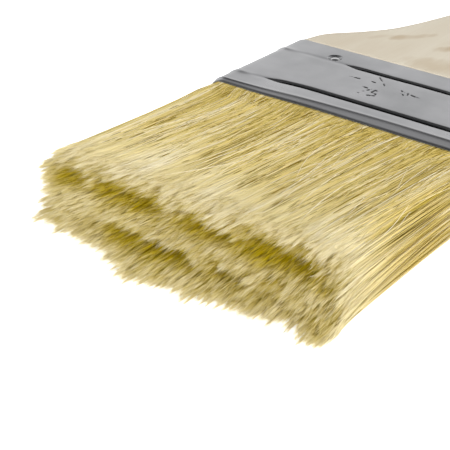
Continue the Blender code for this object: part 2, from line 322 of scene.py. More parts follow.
def tube_points(paths: np.ndarray, radii: np.ndarray, spin: np.ndarray, sides: int) -> np.ndarray:
    """Points of tapered tubes round their paths.

    Args:
        paths: centre lines, tube by ring by coordinate; the last point is the tip.
        radii: radius at each ring before the tip.
        spin: turn of each tube about its own line, in radians.
        sides: sides of each tube.

    Returns:
        The points, tube after tube, ring after ring, then the tip.
    """
    ahead = np.empty_like(paths)
    ahead[:, 1:-1] = paths[:, 2:] - paths[:, :-2]
    ahead[:, 0] = paths[:, 1] - paths[:, 0]
    ahead[:, -1] = paths[:, -1] - paths[:, -2]
    ahead /= np.linalg.norm(ahead, axis=-1, keepdims=True)
    side = np.cross(ahead, np.array([0.0, 0.0, 1.0]))
    side /= np.maximum(np.linalg.norm(side, axis=-1, keepdims=True), 1e-6)
    up = np.cross(side, ahead)
    angle = spin[:, None] + np.arange(sides) * 2.0 * math.pi / sides
    cos, sin = np.cos(angle)[:, None, :, None], np.sin(angle)[:, None, :, None]
    reach = radii[:, :, None, None]
    rings = paths[:, :-1, None] + reach * (cos * side[:, :-1, None] + sin * up[:, :-1, None])
    count = len(paths)
    rings = rings.reshape(count, -1, 3)
    return np.concatenate([rings, paths[:, -1:]], axis=1).reshape(-1, 3)


def loft_faces(rings: int, around: int, turned: bool = False) -> list[np.ndarray]:
    """Faces of a closed skin over rings of points, with a cap at each end.

    Args:
        rings: number of rings.
        around: points in each ring.
        turned: True to wind the faces the other way.

    Returns:
        The walls between each ring and the next, then the two caps.
    """
    here = np.arange(around)
    after = (here + 1) % around
    faces = []
    for low in range(0, (rings - 1) * around, around):
        high = low + around
        walls = [low + here, high + here, high + after, low + after]
        if turned:
            walls = walls[:1] + walls[:0:-1]
        faces.append(np.stack(walls, axis=-1))
    last = (rings - 1) * around + here
    first, last = (here[::-1], last) if turned else (here, last[::-1])
    return faces + [first[None, :], last[None, :]]


def spread_to_tubes(values: np.ndarray, sides: int) -> np.ndarray:
    """Repeat values given along each path over its tube's points.

    Args:
        values: tube by ring, or tube by ring by channel, the tip last.
        sides: sides of each tube.

    Returns:
        One value or row for each point.
    """
    rings = np.repeat(values[:, :-1], sides, axis=1)
    every = np.concatenate([rings, values[:, -1:]], axis=1)
    return every.reshape(-1, *values.shape[2:])


# ------------------------------------------------------------------- shader helpers


class Sheet:
    """A node tree that is being laid out."""

    def __init__(self, tree: bpy.types.NodeTree) -> None:
        """Keep the tree."""
        self.tree = tree

    def add(self, kind: str, **settings: object) -> bpy.types.Node:
        """Add a node.

        Args:
            kind: type of the node.
            settings: properties to set on it.

        Returns:
            The node.
        """
        node = self.tree.nodes.new(kind)
        for key, value in settings.items():
            setattr(node, key, value)
        return node

    def join(self, source: bpy.types.NodeSocket, target: bpy.types.NodeSocket) -> None:
        """Link two sockets."""
        self.tree.links.new(source, target)

    def feed(self, target: bpy.types.NodeSocket, value: object) -> None:
        """Link a socket or set a plain value.

        Args:
            target: socket that takes it.
            value: a socket, a number, a colour or a place.
        """
        if isinstance(value, bpy.types.NodeSocket):
            self.join(value, target)
        elif target.type == "RGBA" and len(value) == 3:
            target.default_value = (*value, 1.0)
        else:
            target.default_value = value

    def maths(self, operation: str, *values: object, clamp: bool = False) -> bpy.types.NodeSocket:
        """Add a Math node.

        Args:
            operation: what it does.
            values: its inputs, sockets or numbers.
            clamp: True to hold the result between 0 and 1.

        Returns:
            The result's socket.
        """
        node = self.add("ShaderNodeMath", operation=operation, use_clamp=clamp)
        for socket, value in zip(node.inputs, values):
            self.feed(socket, value)
        return node.outputs[0]

    def mix(self, share: object, first: object, second: object) -> bpy.types.NodeSocket:
        """Mix two colours by a share.

        Args:
            share: 0 for first and 1 for second.
            first: colour or socket.
            second: colour or socket.

        Returns:
            The mixed colour's socket.
        """
        node = self.add("ShaderNodeMix", data_type="RGBA", clamp_factor=True)
        self.feed(node.inputs[0], share)
        self.feed(node.inputs[6], first)
        self.feed(node.inputs[7], second)
        return node.outputs[2]

    def spread(
        self, value: object, low: float, high: float, to_low: float, to_high: float
    ) -> bpy.types.NodeSocket:
        """Map a value from one range to another, held inside it.

        Args:
            value: number or socket to map.
            low: value that maps to to_low.
            high: value that maps to to_high.
            to_low: result at low.
            to_high: result at high.

        Returns:
            The mapped value's socket.
        """
        node = self.add("ShaderNodeMapRange", clamp=True)
        for socket, given in zip(node.inputs, (value, low, high, to_low, to_high)):
            self.feed(socket, given)
        return node.outputs[0]

    def noise(
        self, place: object, scale: object, detail: float, roughness: float = 0.5
    ) -> bpy.types.NodeSocket:
        """Add a noise texture.

        Args:
            place: socket of the place.
            scale: its scale, a number or a socket.
            detail: number of finer layers.
            roughness: strength of the finer layers.

        Returns:
            The socket of its value.
        """
        node = self.add("ShaderNodeTexNoise")
        self.feed(node.inputs["Vector"], place)
        self.feed(node.inputs["Scale"], scale)
        node.inputs["Detail"].default_value = detail
        node.inputs["Roughness"].default_value = roughness
        return node.outputs[0]

    def stretch(self, place: object, scale: tuple[float, float, float]) -> bpy.types.NodeSocket:
        """Scale a place along each axis.

        Args:
            place: socket of the place.
            scale: factor along each axis.

        Returns:
            The scaled place's socket.
        """
        node = self.add("ShaderNodeVectorMath", operation="MULTIPLY")
        self.feed(node.inputs[0], place)
        node.inputs[1].default_value = scale
        return node.outputs[0]


class ShaderGroup:
    """A node group with named sockets."""

    def __init__(self, name: str, inputs: dict[str, object], outputs: dict[str, str]) -> None:
        """Make the group and its sockets.

        Args:
            name: name of the group.
            inputs: default of each input: a number, a colour or None for a place.
            outputs: socket type of each output.
        """
        self.tree = bpy.data.node_groups.new(name, "ShaderNodeTree")
        for label, default in inputs.items():
            kind = "NodeSocketVector"
            if isinstance(default, float):
                kind = "NodeSocketFloat"
            elif default is not None:
                kind = "NodeSocketColor"
            socket = self.tree.interface.new_socket(label, in_out="INPUT", socket_type=kind)
            if isinstance(default, float):
                socket.default_value = default
            elif default is not None:
                socket.default_value = (*default, 1.0)
        for label, kind in outputs.items():
            self.tree.interface.new_socket(label, in_out="OUTPUT", socket_type=kind)
        self.sheet = Sheet(self.tree)
        self.inside = self.sheet.add("NodeGroupInput").outputs
        self.outside = self.sheet.add("NodeGroupOutput").inputs

    def place(self, sheet: Sheet, **values: object) -> bpy.types.NodeOutputs:
        """Put the group in a material.

        Args:
            sheet: the material's tree.
            values: inputs by name, with _ for a space.

        Returns:
            The group's outputs.
        """
        node = sheet.add("ShaderNodeGroup", node_tree=self.tree)
        for label, value in values.items():
            sheet.feed(node.inputs[label.replace("_", " ")], value)
        return node.outputs


def bristle_tone_group() -> ShaderGroup:
    """Colour of a bristle from where it is, with painted shade where it lies deep: built once for every
    bristle material.

    Returns:
        The group.
    """
    group = ShaderGroup(
        "bristle_tone",
        {
            "Tone": 0.5,
            "Depth": 0.0,
            "Along": 0.5,
            "Root": (0.5, 0.4, 0.2),
            "Middle": (0.6, 0.5, 0.25),
            "Tip": (0.7, 0.6, 0.3),
            "Dark": (0.2, 0.15, 0.04),
            "Pale": (0.8, 0.7, 0.5),
            "PaintedShade": (0.3, 0.25, 0.02),
        },
        {"Color": "NodeSocketColor"},
    )
    sheet, given = group.sheet, group.inside
    near = sheet.spread(given["Along"], 0.0, 0.55, 0.0, 1.0)
    far = sheet.spread(given["Along"], 0.55, 1.0, 0.0, 1.0)
    base = sheet.mix(near, given["Root"], given["Middle"])
    base = sheet.mix(far, base, given["Tip"])
    darker = sheet.spread(given["Tone"], 0.45, 0.0, 0.0, 1.0)
    paler = sheet.spread(given["Tone"], 0.55, 1.0, 0.0, 1.0)
    base = sheet.mix(darker, base, given["Dark"])
    base = sheet.mix(paler, base, given["Pale"])
    # Painted shade: the shaded colour is mixed in by the bristle's painted shade share.
    sheet.join(sheet.mix(given["Depth"], base, given["PaintedShade"]), group.outside["Color"])
    return group


def smudge_group() -> ShaderGroup:
    """Soft smudges and fine scratches on metal and resin.

    Returns:
        The group.
    """
    group = ShaderGroup(
        "smudge",
        {"Place": None, "Patch": 60.0, "Fine": 900.0},
        {"Mask": "NodeSocketFloat", "Grain": "NodeSocketFloat"},
    )
    sheet, given = group.sheet, group.inside
    patch = sheet.noise(given["Place"], given["Patch"], 4.0, 0.6)
    sheet.join(sheet.spread(patch, 0.35, 0.68, 0.0, 1.0), group.outside["Mask"])
    fine = sheet.noise(sheet.stretch(given["Place"], (0.35, 1.0, 1.0)), given["Fine"], 3.0, 0.65)
    sheet.join(fine, group.outside["Grain"])
    return group


def wood_group() -> ShaderGroup:
    """Grain of a board sawn along Y.

    Returns:
        The group.
    """
    group = ShaderGroup(
        "board_grain",
        {
            "Place": None,
            "Light": (0.7, 0.6, 0.5),
            "Dark": (0.5, 0.4, 0.3),
            "Figure": (0.6, 0.5, 0.4),
            "Contrast": 0.5,
        },
        {"Color": "NodeSocketColor", "Height": "NodeSocketFloat"},
    )
    sheet, given = group.sheet, group.inside
    warp = sheet.noise(sheet.stretch(given["Place"], (38.0, 9.0, 38.0)), 1.0, 2.0)
    across = sheet.add("ShaderNodeSeparateXYZ")
    sheet.feed(across.inputs[0], given["Place"])
    rings = sheet.maths("MULTIPLY", across.outputs[0], 330.0)
    rings = sheet.maths("MULTIPLY_ADD", warp, 7.0, rings)
    rings = sheet.maths("MULTIPLY_ADD", across.outputs[2], 140.0, rings)
    wave = sheet.maths("MULTIPLY_ADD", sheet.maths("SINE", rings), 0.5, 0.5)
    fibre = sheet.noise(sheet.stretch(given["Place"], (2600.0, 90.0, 2600.0)), 1.0, 3.0, 0.6)
    share = sheet.maths("MULTIPLY_ADD", fibre, 0.7, sheet.maths("MULTIPLY", wave, 0.5))
    share = sheet.maths("MULTIPLY", sheet.maths("SUBTRACT", share, 0.35), given["Contrast"])
    base = sheet.mix(share, given["Light"], given["Dark"])
    patch = sheet.noise(sheet.stretch(given["Place"], (90.0, 22.0, 60.0)), 1.0, 3.0, 0.5)
    figure = sheet.spread(patch, 0.48, 0.75, 0.0, 0.5)
    ragged = sheet.noise(sheet.stretch(given["Place"], (260.0, 120.0, 200.0)), 1.0, 2.0)
    lean = sheet.maths("MULTIPLY_ADD", across.outputs[1], -0.7, across.outputs[0])
    for x, y, wide, long, strength in FIGURE_SPOTS:
        side = sheet.maths("DIVIDE", sheet.maths("SUBTRACT", lean, x - 0.7 * y), wide)
        along = sheet.maths("DIVIDE", sheet.maths("SUBTRACT", across.outputs[1], y), long)
        away = sheet.maths("ADD", sheet.maths("POWER", side, 2.0), sheet.maths("POWER", along, 2.0))
        frayed = sheet.maths("MULTIPLY", sheet.maths("SUBTRACT", ragged, 0.5), 2.2)
        away = sheet.maths("ADD", away, frayed)
        figure = sheet.maths("MAXIMUM", figure, sheet.spread(away, 0.0, 1.1, strength, 0.0))
    sheet.join(sheet.mix(figure, base, given["Figure"]), group.outside["Color"])
    sheet.join(fibre, group.outside["Height"])
    return group


@dataclass
class Groups:
    """The shader effects that several materials share."""

    bristle: ShaderGroup = field(default_factory=bristle_tone_group)
    smudge: ShaderGroup = field(default_factory=smudge_group)
    wood: ShaderGroup = field(default_factory=wood_group)


def new_material(name: str) -> tuple[bpy.types.Material, Sheet, bpy.types.Node]:
    """Make a material with one Principled shader.

    Args:
        name: name of the finish.

    Returns:
        The material, its tree and its shader.
    """
    material = bpy.data.materials.new(name)
    material.use_nodes = True
    sheet = Sheet(material.node_tree)
    return material, sheet, material.node_tree.nodes["Principled BSDF"]


def object_place(sheet: Sheet) -> bpy.types.NodeSocket:
    """Socket of the place on the object, which is the place in the row frame at rest."""
    return sheet.add("ShaderNodeTexCoord").outputs["Object"]


def attribute(sheet: Sheet, name: str) -> bpy.types.Node:
    """Node that reads a point attribute."""
    return sheet.add("ShaderNodeAttribute", attribute_name=name)


def add_bump(
    sheet: Sheet, shader: bpy.types.Node, height: object, strength: float, distance: float
) -> None:
    """Feed a height into the shader's normal.

    Args:
        sheet: the material's tree.
        shader: its Principled shader.
        height: socket of the height.
        strength: strength of the bump.
        distance: height of the bump, in metres.
    """
    node = sheet.add("ShaderNodeBump")
    node.inputs["Strength"].default_value = strength
    node.inputs["Distance"].default_value = distance
    sheet.feed(node.inputs["Height"], height)
    sheet.join(node.outputs[0], shader.inputs["Normal"])


# ------------------------------------------------------------------------- finishes


@dataclass(frozen=True)
class BristleFinish:
    """Bleached hog bristle: golden near the ferrule and cream at its split tips, with painted shade deep
    in the tuft.
    """

    root: Colour = (0.68, 0.525, 0.14)
    middle: Colour = (0.78, 0.63, 0.235)
    tip: Colour = (0.88, 0.775, 0.45)
    # Colour of darker bristles, also used for painted shadow streaks between the bristles.
    dark: Colour = (0.25, 0.165, 0.006)
    pale: Colour = (0.93, 0.85, 0.63)
    # Painted shade: olive colour for bristles deep in the tuft and in the gaps between layers, where
    # shade falls.
    paintedshade: Colour = (0.60, 0.45, 0.004)
    roughness: float = 0.5

    def make(self, name: str, groups: Groups) -> bpy.types.Material:
        """Make the material.

        Args:
            name: name of the material.
            groups: shared effects.

        Returns:
            The material, which reads the strand attribute.
        """
        material, sheet, shader = new_material(name)
        parts = sheet.add("ShaderNodeSeparateColor")
        sheet.join(attribute(sheet, "strand").outputs["Color"], parts.inputs[0])
        colour = groups.bristle.place(
            sheet,
            Tone=parts.outputs[0],
            Depth=parts.outputs[1],
            Along=parts.outputs[2],
            Root=self.root,
            Middle=self.middle,
            Tip=self.tip,
            Dark=self.dark,
            Pale=self.pale,
            PaintedShade=self.paintedshade,
        )["Color"]
        sheet.join(colour, shader.inputs["Base Color"])
        shader.inputs["Roughness"].default_value = self.roughness
        shader.inputs["Specular IOR Level"].default_value = 0.1
        return material


@dataclass(frozen=True)
class SteelFinish:
    """Dull tinned steel with smudges, dark stamp marks, and painted shade in its grooves and along the
    mouth's rim.
    """

    light: Colour = (0.46, 0.46, 0.462)
    dull: Colour = (0.42, 0.423, 0.425)
    # Near-black colour of the stamp marks and of the painted shade in the grooves and along the rim.
    marks_and_painted_shade: Colour = (0.012, 0.012, 0.013)
    smooth: float = 0.27
    rough: float = 0.35

    def make(self, name: str, groups: Groups) -> bpy.types.Material:
        """Make the material.

        Args:
            name: name of the material.
            groups: shared effects.

        Returns:
            The material, which reads the attribute of stamp marks and painted shade.
        """
        material, sheet, shader = new_material(name)
        marks = groups.smudge.place(sheet, Place=object_place(sheet), Patch=70.0, Fine=1500.0)
        base = sheet.mix(marks["Mask"], self.light, self.dull)
        base = sheet.mix(sheet.maths("MULTIPLY", marks["Grain"], 0.16), base, (0.30, 0.30, 0.31))
        # Painted shade: the grooves and the mouth's rim take the near-black colour, along with the stamp
        # marks.
        marks_and_shade_share = attribute(sheet, "marks_and_shade_share").outputs["Fac"]
        base = sheet.mix(marks_and_shade_share, base, self.marks_and_painted_shade)
        sheet.join(base, shader.inputs["Base Color"])
        rough = sheet.spread(marks["Mask"], 0.0, 1.0, self.smooth, self.rough)
        rough = sheet.maths("MULTIPLY_ADD", marks_and_shade_share, 0.4, rough)
        sheet.join(rough, shader.inputs["Roughness"])
        shader.inputs["Metallic"].default_value = 1.0
        add_bump(sheet, shader, marks["Grain"], 0.12, 0.00002)
        return material


@dataclass(frozen=True)
class NailFinish:
    """Bright wire nail."""

    light: Colour = (0.72, 0.72, 0.71)
    dull: Colour = (0.52, 0.52, 0.52)

    def make(self, name: str, groups: Groups) -> bpy.types.Material:
        """Make the material.

        Args:
            name: name of the material.
            groups: shared effects.

        Returns:
            The material.
        """
        material, sheet, shader = new_material(name)
        marks = groups.smudge.place(sheet, Place=object_place(sheet), Patch=900.0, Fine=5000.0)
        sheet.join(sheet.mix(marks["Mask"], self.light, self.dull), shader.inputs["Base Color"])
        sheet.join(sheet.spread(marks["Grain"], 0.3, 0.7, 0.16, 0.30), shader.inputs["Roughness"])
        shader.inputs["Metallic"].default_value = 1.0
        return material


@dataclass(frozen=True)
class WoodFinish:
    """Bare sanded wood."""

    light: Colour = (0.68, 0.62, 0.50)
    dark: Colour = (0.56, 0.475, 0.35)
    figure: Colour = (0.51, 0.41, 0.28)
    contrast: float = 0.5
    roughness: float = 0.62

    def make(self, name: str, groups: Groups) -> bpy.types.Material:
        """Make the material.

        Args:
            name: name of the material.
            groups: shared effects.

        Returns:
            The material.
        """
        material, sheet, shader = new_material(name)
        grain = groups.wood.place(
            sheet,
            Place=object_place(sheet),
            Light=self.light,
            Dark=self.dark,
            Figure=self.figure,
            Contrast=self.contrast,
        )
        sheet.join(grain["Color"], shader.inputs["Base Color"])
        rough = sheet.spread(grain["Height"], 0.3, 0.7, self.roughness - 0.06, self.roughness + 0.08)
        sheet.join(rough, shader.inputs["Roughness"])
        shader.inputs["Specular IOR Level"].default_value = 0.3
        add_bump(sheet, shader, grain["Height"], 0.25, 0.00006)
        return material


@dataclass(frozen=True)
class ResinFinish:
    """Cured brown resin."""

    light: Colour = (0.22, 0.13, 0.05)
    dark: Colour = (0.12, 0.065, 0.022)

    def make(self, name: str, groups: Groups) -> bpy.types.Material:
        """Make the material.

        Args:
            name: name of the material.
            groups: shared effects.

        Returns:
            The material.
        """
        material, sheet, shader = new_material(name)
        marks = groups.smudge.place(sheet, Place=object_place(sheet), Patch=240.0, Fine=2200.0)
        sheet.join(sheet.mix(marks["Mask"], self.light, self.dark), shader.inputs["Base Color"])
        sheet.join(sheet.spread(marks["Grain"], 0.3, 0.7, 0.25, 0.45), shader.inputs["Roughness"])
        return material


# -------------------------------------------------------------------------- ferrule


@dataclass
class Ferrule:
    """Wrapped steel sleeve with a squeezed lip, two rolled grooves and four dimples."""

    places: Places
    corner: float = SLEEVE_CORNER
    sheet: float = 0.28
    lip_length: float = 3.9
    lip_press: float = 0.39
    groove_deep: float = 0.8
    front_groove: float = 8.8
    rear_groove: float = 26.3
    front_full: float = 21.0
    front_end: float = 27.0
    rear_full: float = 11.5
    rear_end: float = 16.5
    nail_x: float = NAIL_X
    nail_depth: float = NAIL_DEPTH
    dimple_deep: float = 0.75
    dimple_mouth: float = 1.95
    dimple_floor: float = 1.45
    crooked: float = 1.6
    bowed: float = 0.85
    seam_height: float = -1.9
    seam_step: float = 0.28
    stamp_deep: float = 0.14
    dent_deep: float = 0.018
    dents: Waves = field(default_factory=lambda: Waves(5, 26.0, 19.0))
    wear: Waves = field(default_factory=lambda: Waves(6, 2.6, 2.2))

    @property
    def length(self) -> float:
        """Length of the sleeve."""
        return self.places.back_y - self.places.mouth_y

    def depth_stations(self) -> np.ndarray:
        """Depths of the rings, close together where the sheet is worked.

        Returns:
            The depths from the mouth to the back edge.
        """
        near_groove = np.concatenate([
            np.linspace(-1.5, -0.6, 4),
            np.linspace(-0.45, 0.45, 11),
            np.linspace(0.6, 1.5, 4),
        ])
        marks = np.linspace(12.9, 24.9, 76)
        parts = [
            np.array([0.0, 0.12, 0.3]),
            np.linspace(0.6, 5.1, 19),
            np.array([5.8, 6.6]),
            self.front_groove + near_groove,
            np.array([10.9, 11.9]),
            marks,
            self.rear_groove + near_groove[1:-4],
            np.linspace(self.rear_groove + 0.55, self.nail_depth + 2.0, 27),
            np.array([31.4, 32.4, 33.4, self.length - 0.4, self.length - 0.15, self.length]),
        ]
        return np.unique(np.round(np.concatenate(parts), 4))

    def top_stations(self) -> np.ndarray:
        """Places across the upper flat, from +X to -X.

        Returns:
            The places.
        """
        flat = self.places.half_width - self.corner
        parts = [
            np.linspace(-flat, -self.nail_x - 2.1, 16),
            np.linspace(-self.nail_x - 2.0, -self.nail_x + 2.0, 28),
            np.linspace(-self.nail_x + 2.2, -12.0, 10),
            np.linspace(-11.8, 9.0, 132),
            np.linspace(9.3, self.nail_x - 2.2, 14),
            np.linspace(self.nail_x - 2.0, self.nail_x + 2.0, 28),
            np.linspace(self.nail_x + 2.1, flat, 16),
        ]
        return np.concatenate(parts)[::-1]

    def under_stations(self) -> np.ndarray:
        """Places across the lower flat, from -X to +X.

        Returns:
            The places.
        """
        flat = self.places.half_width - self.corner
        parts = [
            np.linspace(-flat, -self.nail_x - 2.1, 9),
            np.linspace(-self.nail_x - 2.0, -self.nail_x + 2.0, 22),
            np.linspace(-self.nail_x + 2.4, self.nail_x - 2.4, 34),
            np.linspace(self.nail_x - 2.0, self.nail_x + 2.0, 22),
            np.linspace(self.nail_x + 2.1, flat, 9),
        ]
        return np.concatenate(parts)

    def outline(self) -> tuple[np.ndarray, np.ndarray, np.ndarray]:
        """Section of the sleeve before it is worked.

        Returns:
            Points (x, z) round the section, their outward directions and, for each,
            +1 on the upper flat, -1 on the lower flat and 0 round the narrow sides.
        """
        half_x = self.places.half_width
        half_z = self.places.half_thickness
        flat, rise = half_x - self.corner, half_z - self.corner
        points, ways, flats = [], [], []

        def arc(centre_x: float, centre_z: float, start: float, stop: float) -> None:
            """Add the points of one corner.

            Args:
                centre_x: place of its centre across the brush.
                centre_z: height of its centre above the middle plane.
                start: turn of its first end, in degrees.
                stop: turn of its last end, in degrees.
            """
            for turn in np.radians(np.linspace(start, stop, 14)[1:-1]):
                way = (math.cos(turn), math.sin(turn))
                points.append((centre_x + self.corner * way[0], centre_z + self.corner * way[1]))
                ways.append(way)
                flats.append(0)

        for x in self.top_stations():
            points.append((x, half_z))
            ways.append((0.0, 1.0))
            flats.append(1)
        arc(-flat, rise, 90.0, 180.0)
        for z in (rise, 1.2, 0.0, -1.2, -1.82, -1.98, -2.12, -rise):
            points.append((-half_x, z))
            ways.append((-1.0, 0.0))
            flats.append(0)
        arc(-flat, -rise, 180.0, 270.0)
        for x in self.under_stations():
            points.append((x, -half_z))
            ways.append((0.0, -1.0))
            flats.append(-1)
        arc(flat, -rise, 270.0, 360.0)
        for z in np.linspace(-rise, rise, 6):
            points.append((half_x, z))
            ways.append((1.0, 0.0))
            flats.append(0)
        arc(flat, rise, 0.0, 90.0)
        return np.array(points), np.array(ways), np.array(flats)

    def groove(self, x: np.ndarray, off: np.ndarray, full: float, end: float) -> np.ndarray:
        """Press of one rolled groove.

        Args:
            x: places across the brush.
            off: distances from the groove's line along the brush.
            full: half length over which the groove has its full depth.
            end: half length at which it is gone.

        Returns:
            How far the sheet is pushed in.
        """
        share = 1.0 - smooth(np.abs(x), full, end)
        half = 0.16 + 0.64 * share
        wall = np.clip(1.0 - np.abs(off) / half, 0.0, 1.0)
        soft = 0.10 * bump(off, 0.0, 1.1)
        return share * (self.groove_deep * wall**0.8 + soft)

    def pressed(self, x: np.ndarray, depth: np.ndarray, flats: np.ndarray) -> np.ndarray:
        """How far the worked sheet stands in from the plain section.

        Args:
            x: place across the brush.
            depth: place along the brush.
            flats: 1 or -1 on the broad faces and 0 round the narrow sides.

        Returns:
            The push inward, below 0 where a bead stands out.
        """
        broad = np.abs(flats)
        reach = self.lip_length - 1.3 * smooth(-x, -14.0, 22.0)
        lip = np.clip(1.0 - depth / reach, 0.0, 1.0)
        press = self.lip_press * lip * (1.0 - 0.22 * smooth(-x, 5.0, 20.0))
        press = press - 0.08 * bump(depth, reach + 0.1, 0.65)
        press = press + 0.10 * bump(depth, 0.0, 0.35)
        side = smooth(np.abs(x), 27.0, 34.0)
        for line, full, end in (
            (self.front_groove, self.front_full, self.front_end),
            (self.rear_groove, self.rear_full, self.rear_end),
        ):
            off = depth - line
            press = press + broad * self.groove(x, off, full, end)
            faint = smooth(np.abs(x), full - 2.0, end) * (1.0 - side)
            press = press + faint * 0.09 * bump(off, -0.2, 0.8)
            press = press - side * 0.20 * bump(off, 0.0, 0.9)
        for nail_x in (-self.nail_x, self.nail_x):
            away = np.hypot(x - nail_x, depth - self.nail_depth)
            cone = 1.0 - smooth(away, self.dimple_floor - 0.25, self.dimple_mouth)
            press = press + broad * self.dimple_deep * cone
        return press

    def marks(self, x: np.ndarray, depth: np.ndarray) -> np.ndarray:
        """Share of the strokes of the worn stamp: a size number and a few short lines.

        Args:
            x: place across the brush.
            depth: place along the brush.

        Returns:
            1 along a stroke, falling to 0 beside it.
        """
        strokes = (
            (-5.4, 17.3, -3.0, 17.1),
            (-3.0, 17.1, -4.3, 13.6),
            (-0.3, 17.0, -1.9, 17.1),
            (-1.9, 17.1, -2.0, 15.6),
            (-2.0, 15.6, -0.7, 15.4),
            (-0.7, 15.4, -0.4, 14.3),
            (-0.4, 14.3, -1.9, 13.6),
            (-11.2, 20.7, -8.6, 20.9),
            (-6.8, 21.2, -4.4, 21.1),
            (-5.2, 24.4, -3.6, 22.8),
            (-2.6, 21.8, -1.4, 20.5),
            (3.0, 20.6, 4.4, 19.8),
            (3.6, 19.4, 4.6, 18.7),
            (4.9, 20.4, 5.3, 19.3),
            (6.0, 19.8, 8.2, 19.4),
        )
        share = np.zeros(np.broadcast(x, depth).shape)
        for x0, d0, x1, d1 in strokes:
            run = np.array([x1 - x0, d1 - d0])
            t = ((x - x0) * run[0] + (depth - d0) * run[1]) / (run @ run)
            t = np.clip(t, 0.0, 1.0)
            away = np.hypot(x - x0 - t * run[0], depth - d0 - t * run[1])
            share = np.maximum(share, 1.0 - smooth(away, 0.08, 0.26))
        return share * smooth(self.wear.at(x, depth), -0.7, 0.5)

    def place_depth(self, x: np.ndarray, depth: float) -> np.ndarray:
        """Depth at which a ring lies, since the rolled lines run crooked at the -X end.

        Args:
            x: places across the brush.
            depth: nominal depth of the ring.

        Returns:
            The depths.
        """
        share = smooth(depth, 0.0, 4.5) * (1.0 - smooth(depth, 10.0, 24.0))
        bowed = self.bowed * (1.0 - smooth(depth, 0.5, 6.5)) * smooth(x, -24.0, -6.0)
        return depth - self.crooked * share * smooth(-x, 13.0, 33.0) + bowed

    def seam(self, x: np.ndarray, up: np.ndarray) -> np.ndarray:
        """How far the lapped end of the strip stands out on the narrow side at -X.

        Args:
            x: places across the brush.
            up: heights above the middle plane.

        Returns:
            The rise outward, with a sharp step at the strip's end.
        """
        side = smooth(-x, self.places.half_width - 2.2, self.places.half_width - 0.6)
        over = smooth(up, self.seam_height - 0.06, self.seam_height + 0.06)
        under = 1.0 - smooth(up, self.seam_height + 3.0, self.seam_height + 6.5)
        return self.seam_step * side * over * under

    def build(self, material: bpy.types.Material) -> bpy.types.Object:
        """Build the sleeve as one closed sheet.

        Args:
            material: its finish.

        Returns:
            The piece, riding on the brush.
        """
        points, ways, flats = self.outline()
        depths = self.depth_stations()
        inner_depths = np.concatenate([depths[::-1][:1], depths[::-1][3:-3:4], depths[:1]])
        x = points[:, 0]
        lap = self.seam(x, points[:, 1])
        rows, marks_and_shade_rows = [], []
        for depth in depths:
            press = self.pressed(x, np.full(len(x), depth), flats)
            mark = self.marks(x, np.full(len(x), depth)) * (flats == 1)
            flatness = smooth(depth, 5.0, 7.0) * (1.0 - smooth(depth, 31.0, 34.0))
            wavy = self.dent_deep * self.dents.at(x, depth) * flatness * np.abs(flats)
            edge = min(depth, self.length - depth)
            rounding = 0.10 * (1.0 - min(edge / 0.2, 1.0)) ** 2
            inward = press + self.stamp_deep * mark + wavy + rounding - lap
            rows.append(self.ring(points - ways * inward[:, None], self.place_depth(x, depth)))
            marks_and_shade_rows.append(self.marks_and_painted_shade(x, depth, flats, mark))
        for depth in inner_depths:
            press = self.pressed(x, np.full(len(x), depth), flats) + self.sheet
            rows.append(self.ring(points - ways * press[:, None], self.place_depth(x, depth)))
            marks_and_shade_rows.append(np.zeros(len(x)))
        count, around = len(rows), len(x)
        here = np.arange(around)
        after = (here + 1) % around
        faces = []
        for row in range(count):
            following = (row + 1) % count
            low, high = row * around, following * around
            faces.append(np.stack([low + here, low + after, high + after, high + here], axis=-1))
        piece = write_mesh(
            "ferrule_sleeve",
            np.concatenate(rows),
            faces,
            material,
            {"marks_and_shade_share": np.concatenate(marks_and_shade_rows)},
        )
        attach(piece, "brush")
        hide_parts("ferrule")
        return piece

    def ring(self, section: np.ndarray, depth: np.ndarray) -> np.ndarray:
        """Points of one ring in the row frame.

        Args:
            section: place across the brush and height above its middle plane of each point.
            depth: depth of each point.

        Returns:
            The points.
        """
        return np.stack([
            section[:, 0],
            self.places.mouth_y + depth,
            self.places.mid_z + section[:, 1],
        ], axis=-1)

    def marks_and_painted_shade(self, x: np.ndarray, depth: float, flats: np.ndarray, mark: np.ndarray) -> np.ndarray:
        """Share of dark stamp marks and of painted shade in the grooves and at the rim, at each place of
        one ring.

        Args:
            x: places across the brush.
            depth: the ring's depth.
            flats: 1 or -1 on the broad faces and 0 round the narrow sides.
            mark: share of the stamped strokes.

        Returns:
            The shares.
        """
        share = 0.7 * mark
        # Painted shade: near-black floors in the rolled grooves, where shade falls.
        for line, full, end in (
            (self.front_groove, self.front_full, self.front_end),
            (self.rear_groove, self.rear_full, self.rear_end),
        ):
            live = 1.0 - smooth(np.abs(x), full - 1.0, end - 0.5)
            off = (depth - line) / (0.2 + 0.8 * live)
            width = np.where(off < 0.0, smooth(-off, 0.42, 0.62), smooth(off, 0.40, 1.15))
            share = np.maximum(share, smooth(live, 0.0, 0.9) * (1.0 - width))
        share = share * np.abs(flats)
        # Painted shade: a dark line along the mouth's rim, where shade falls between lip and bristles.
        rim = 0.5 * (1.0 - smooth(depth, 0.02, 0.2))
        return np.maximum(share, rim)


# ---------------------------------------------------------------------------- nails


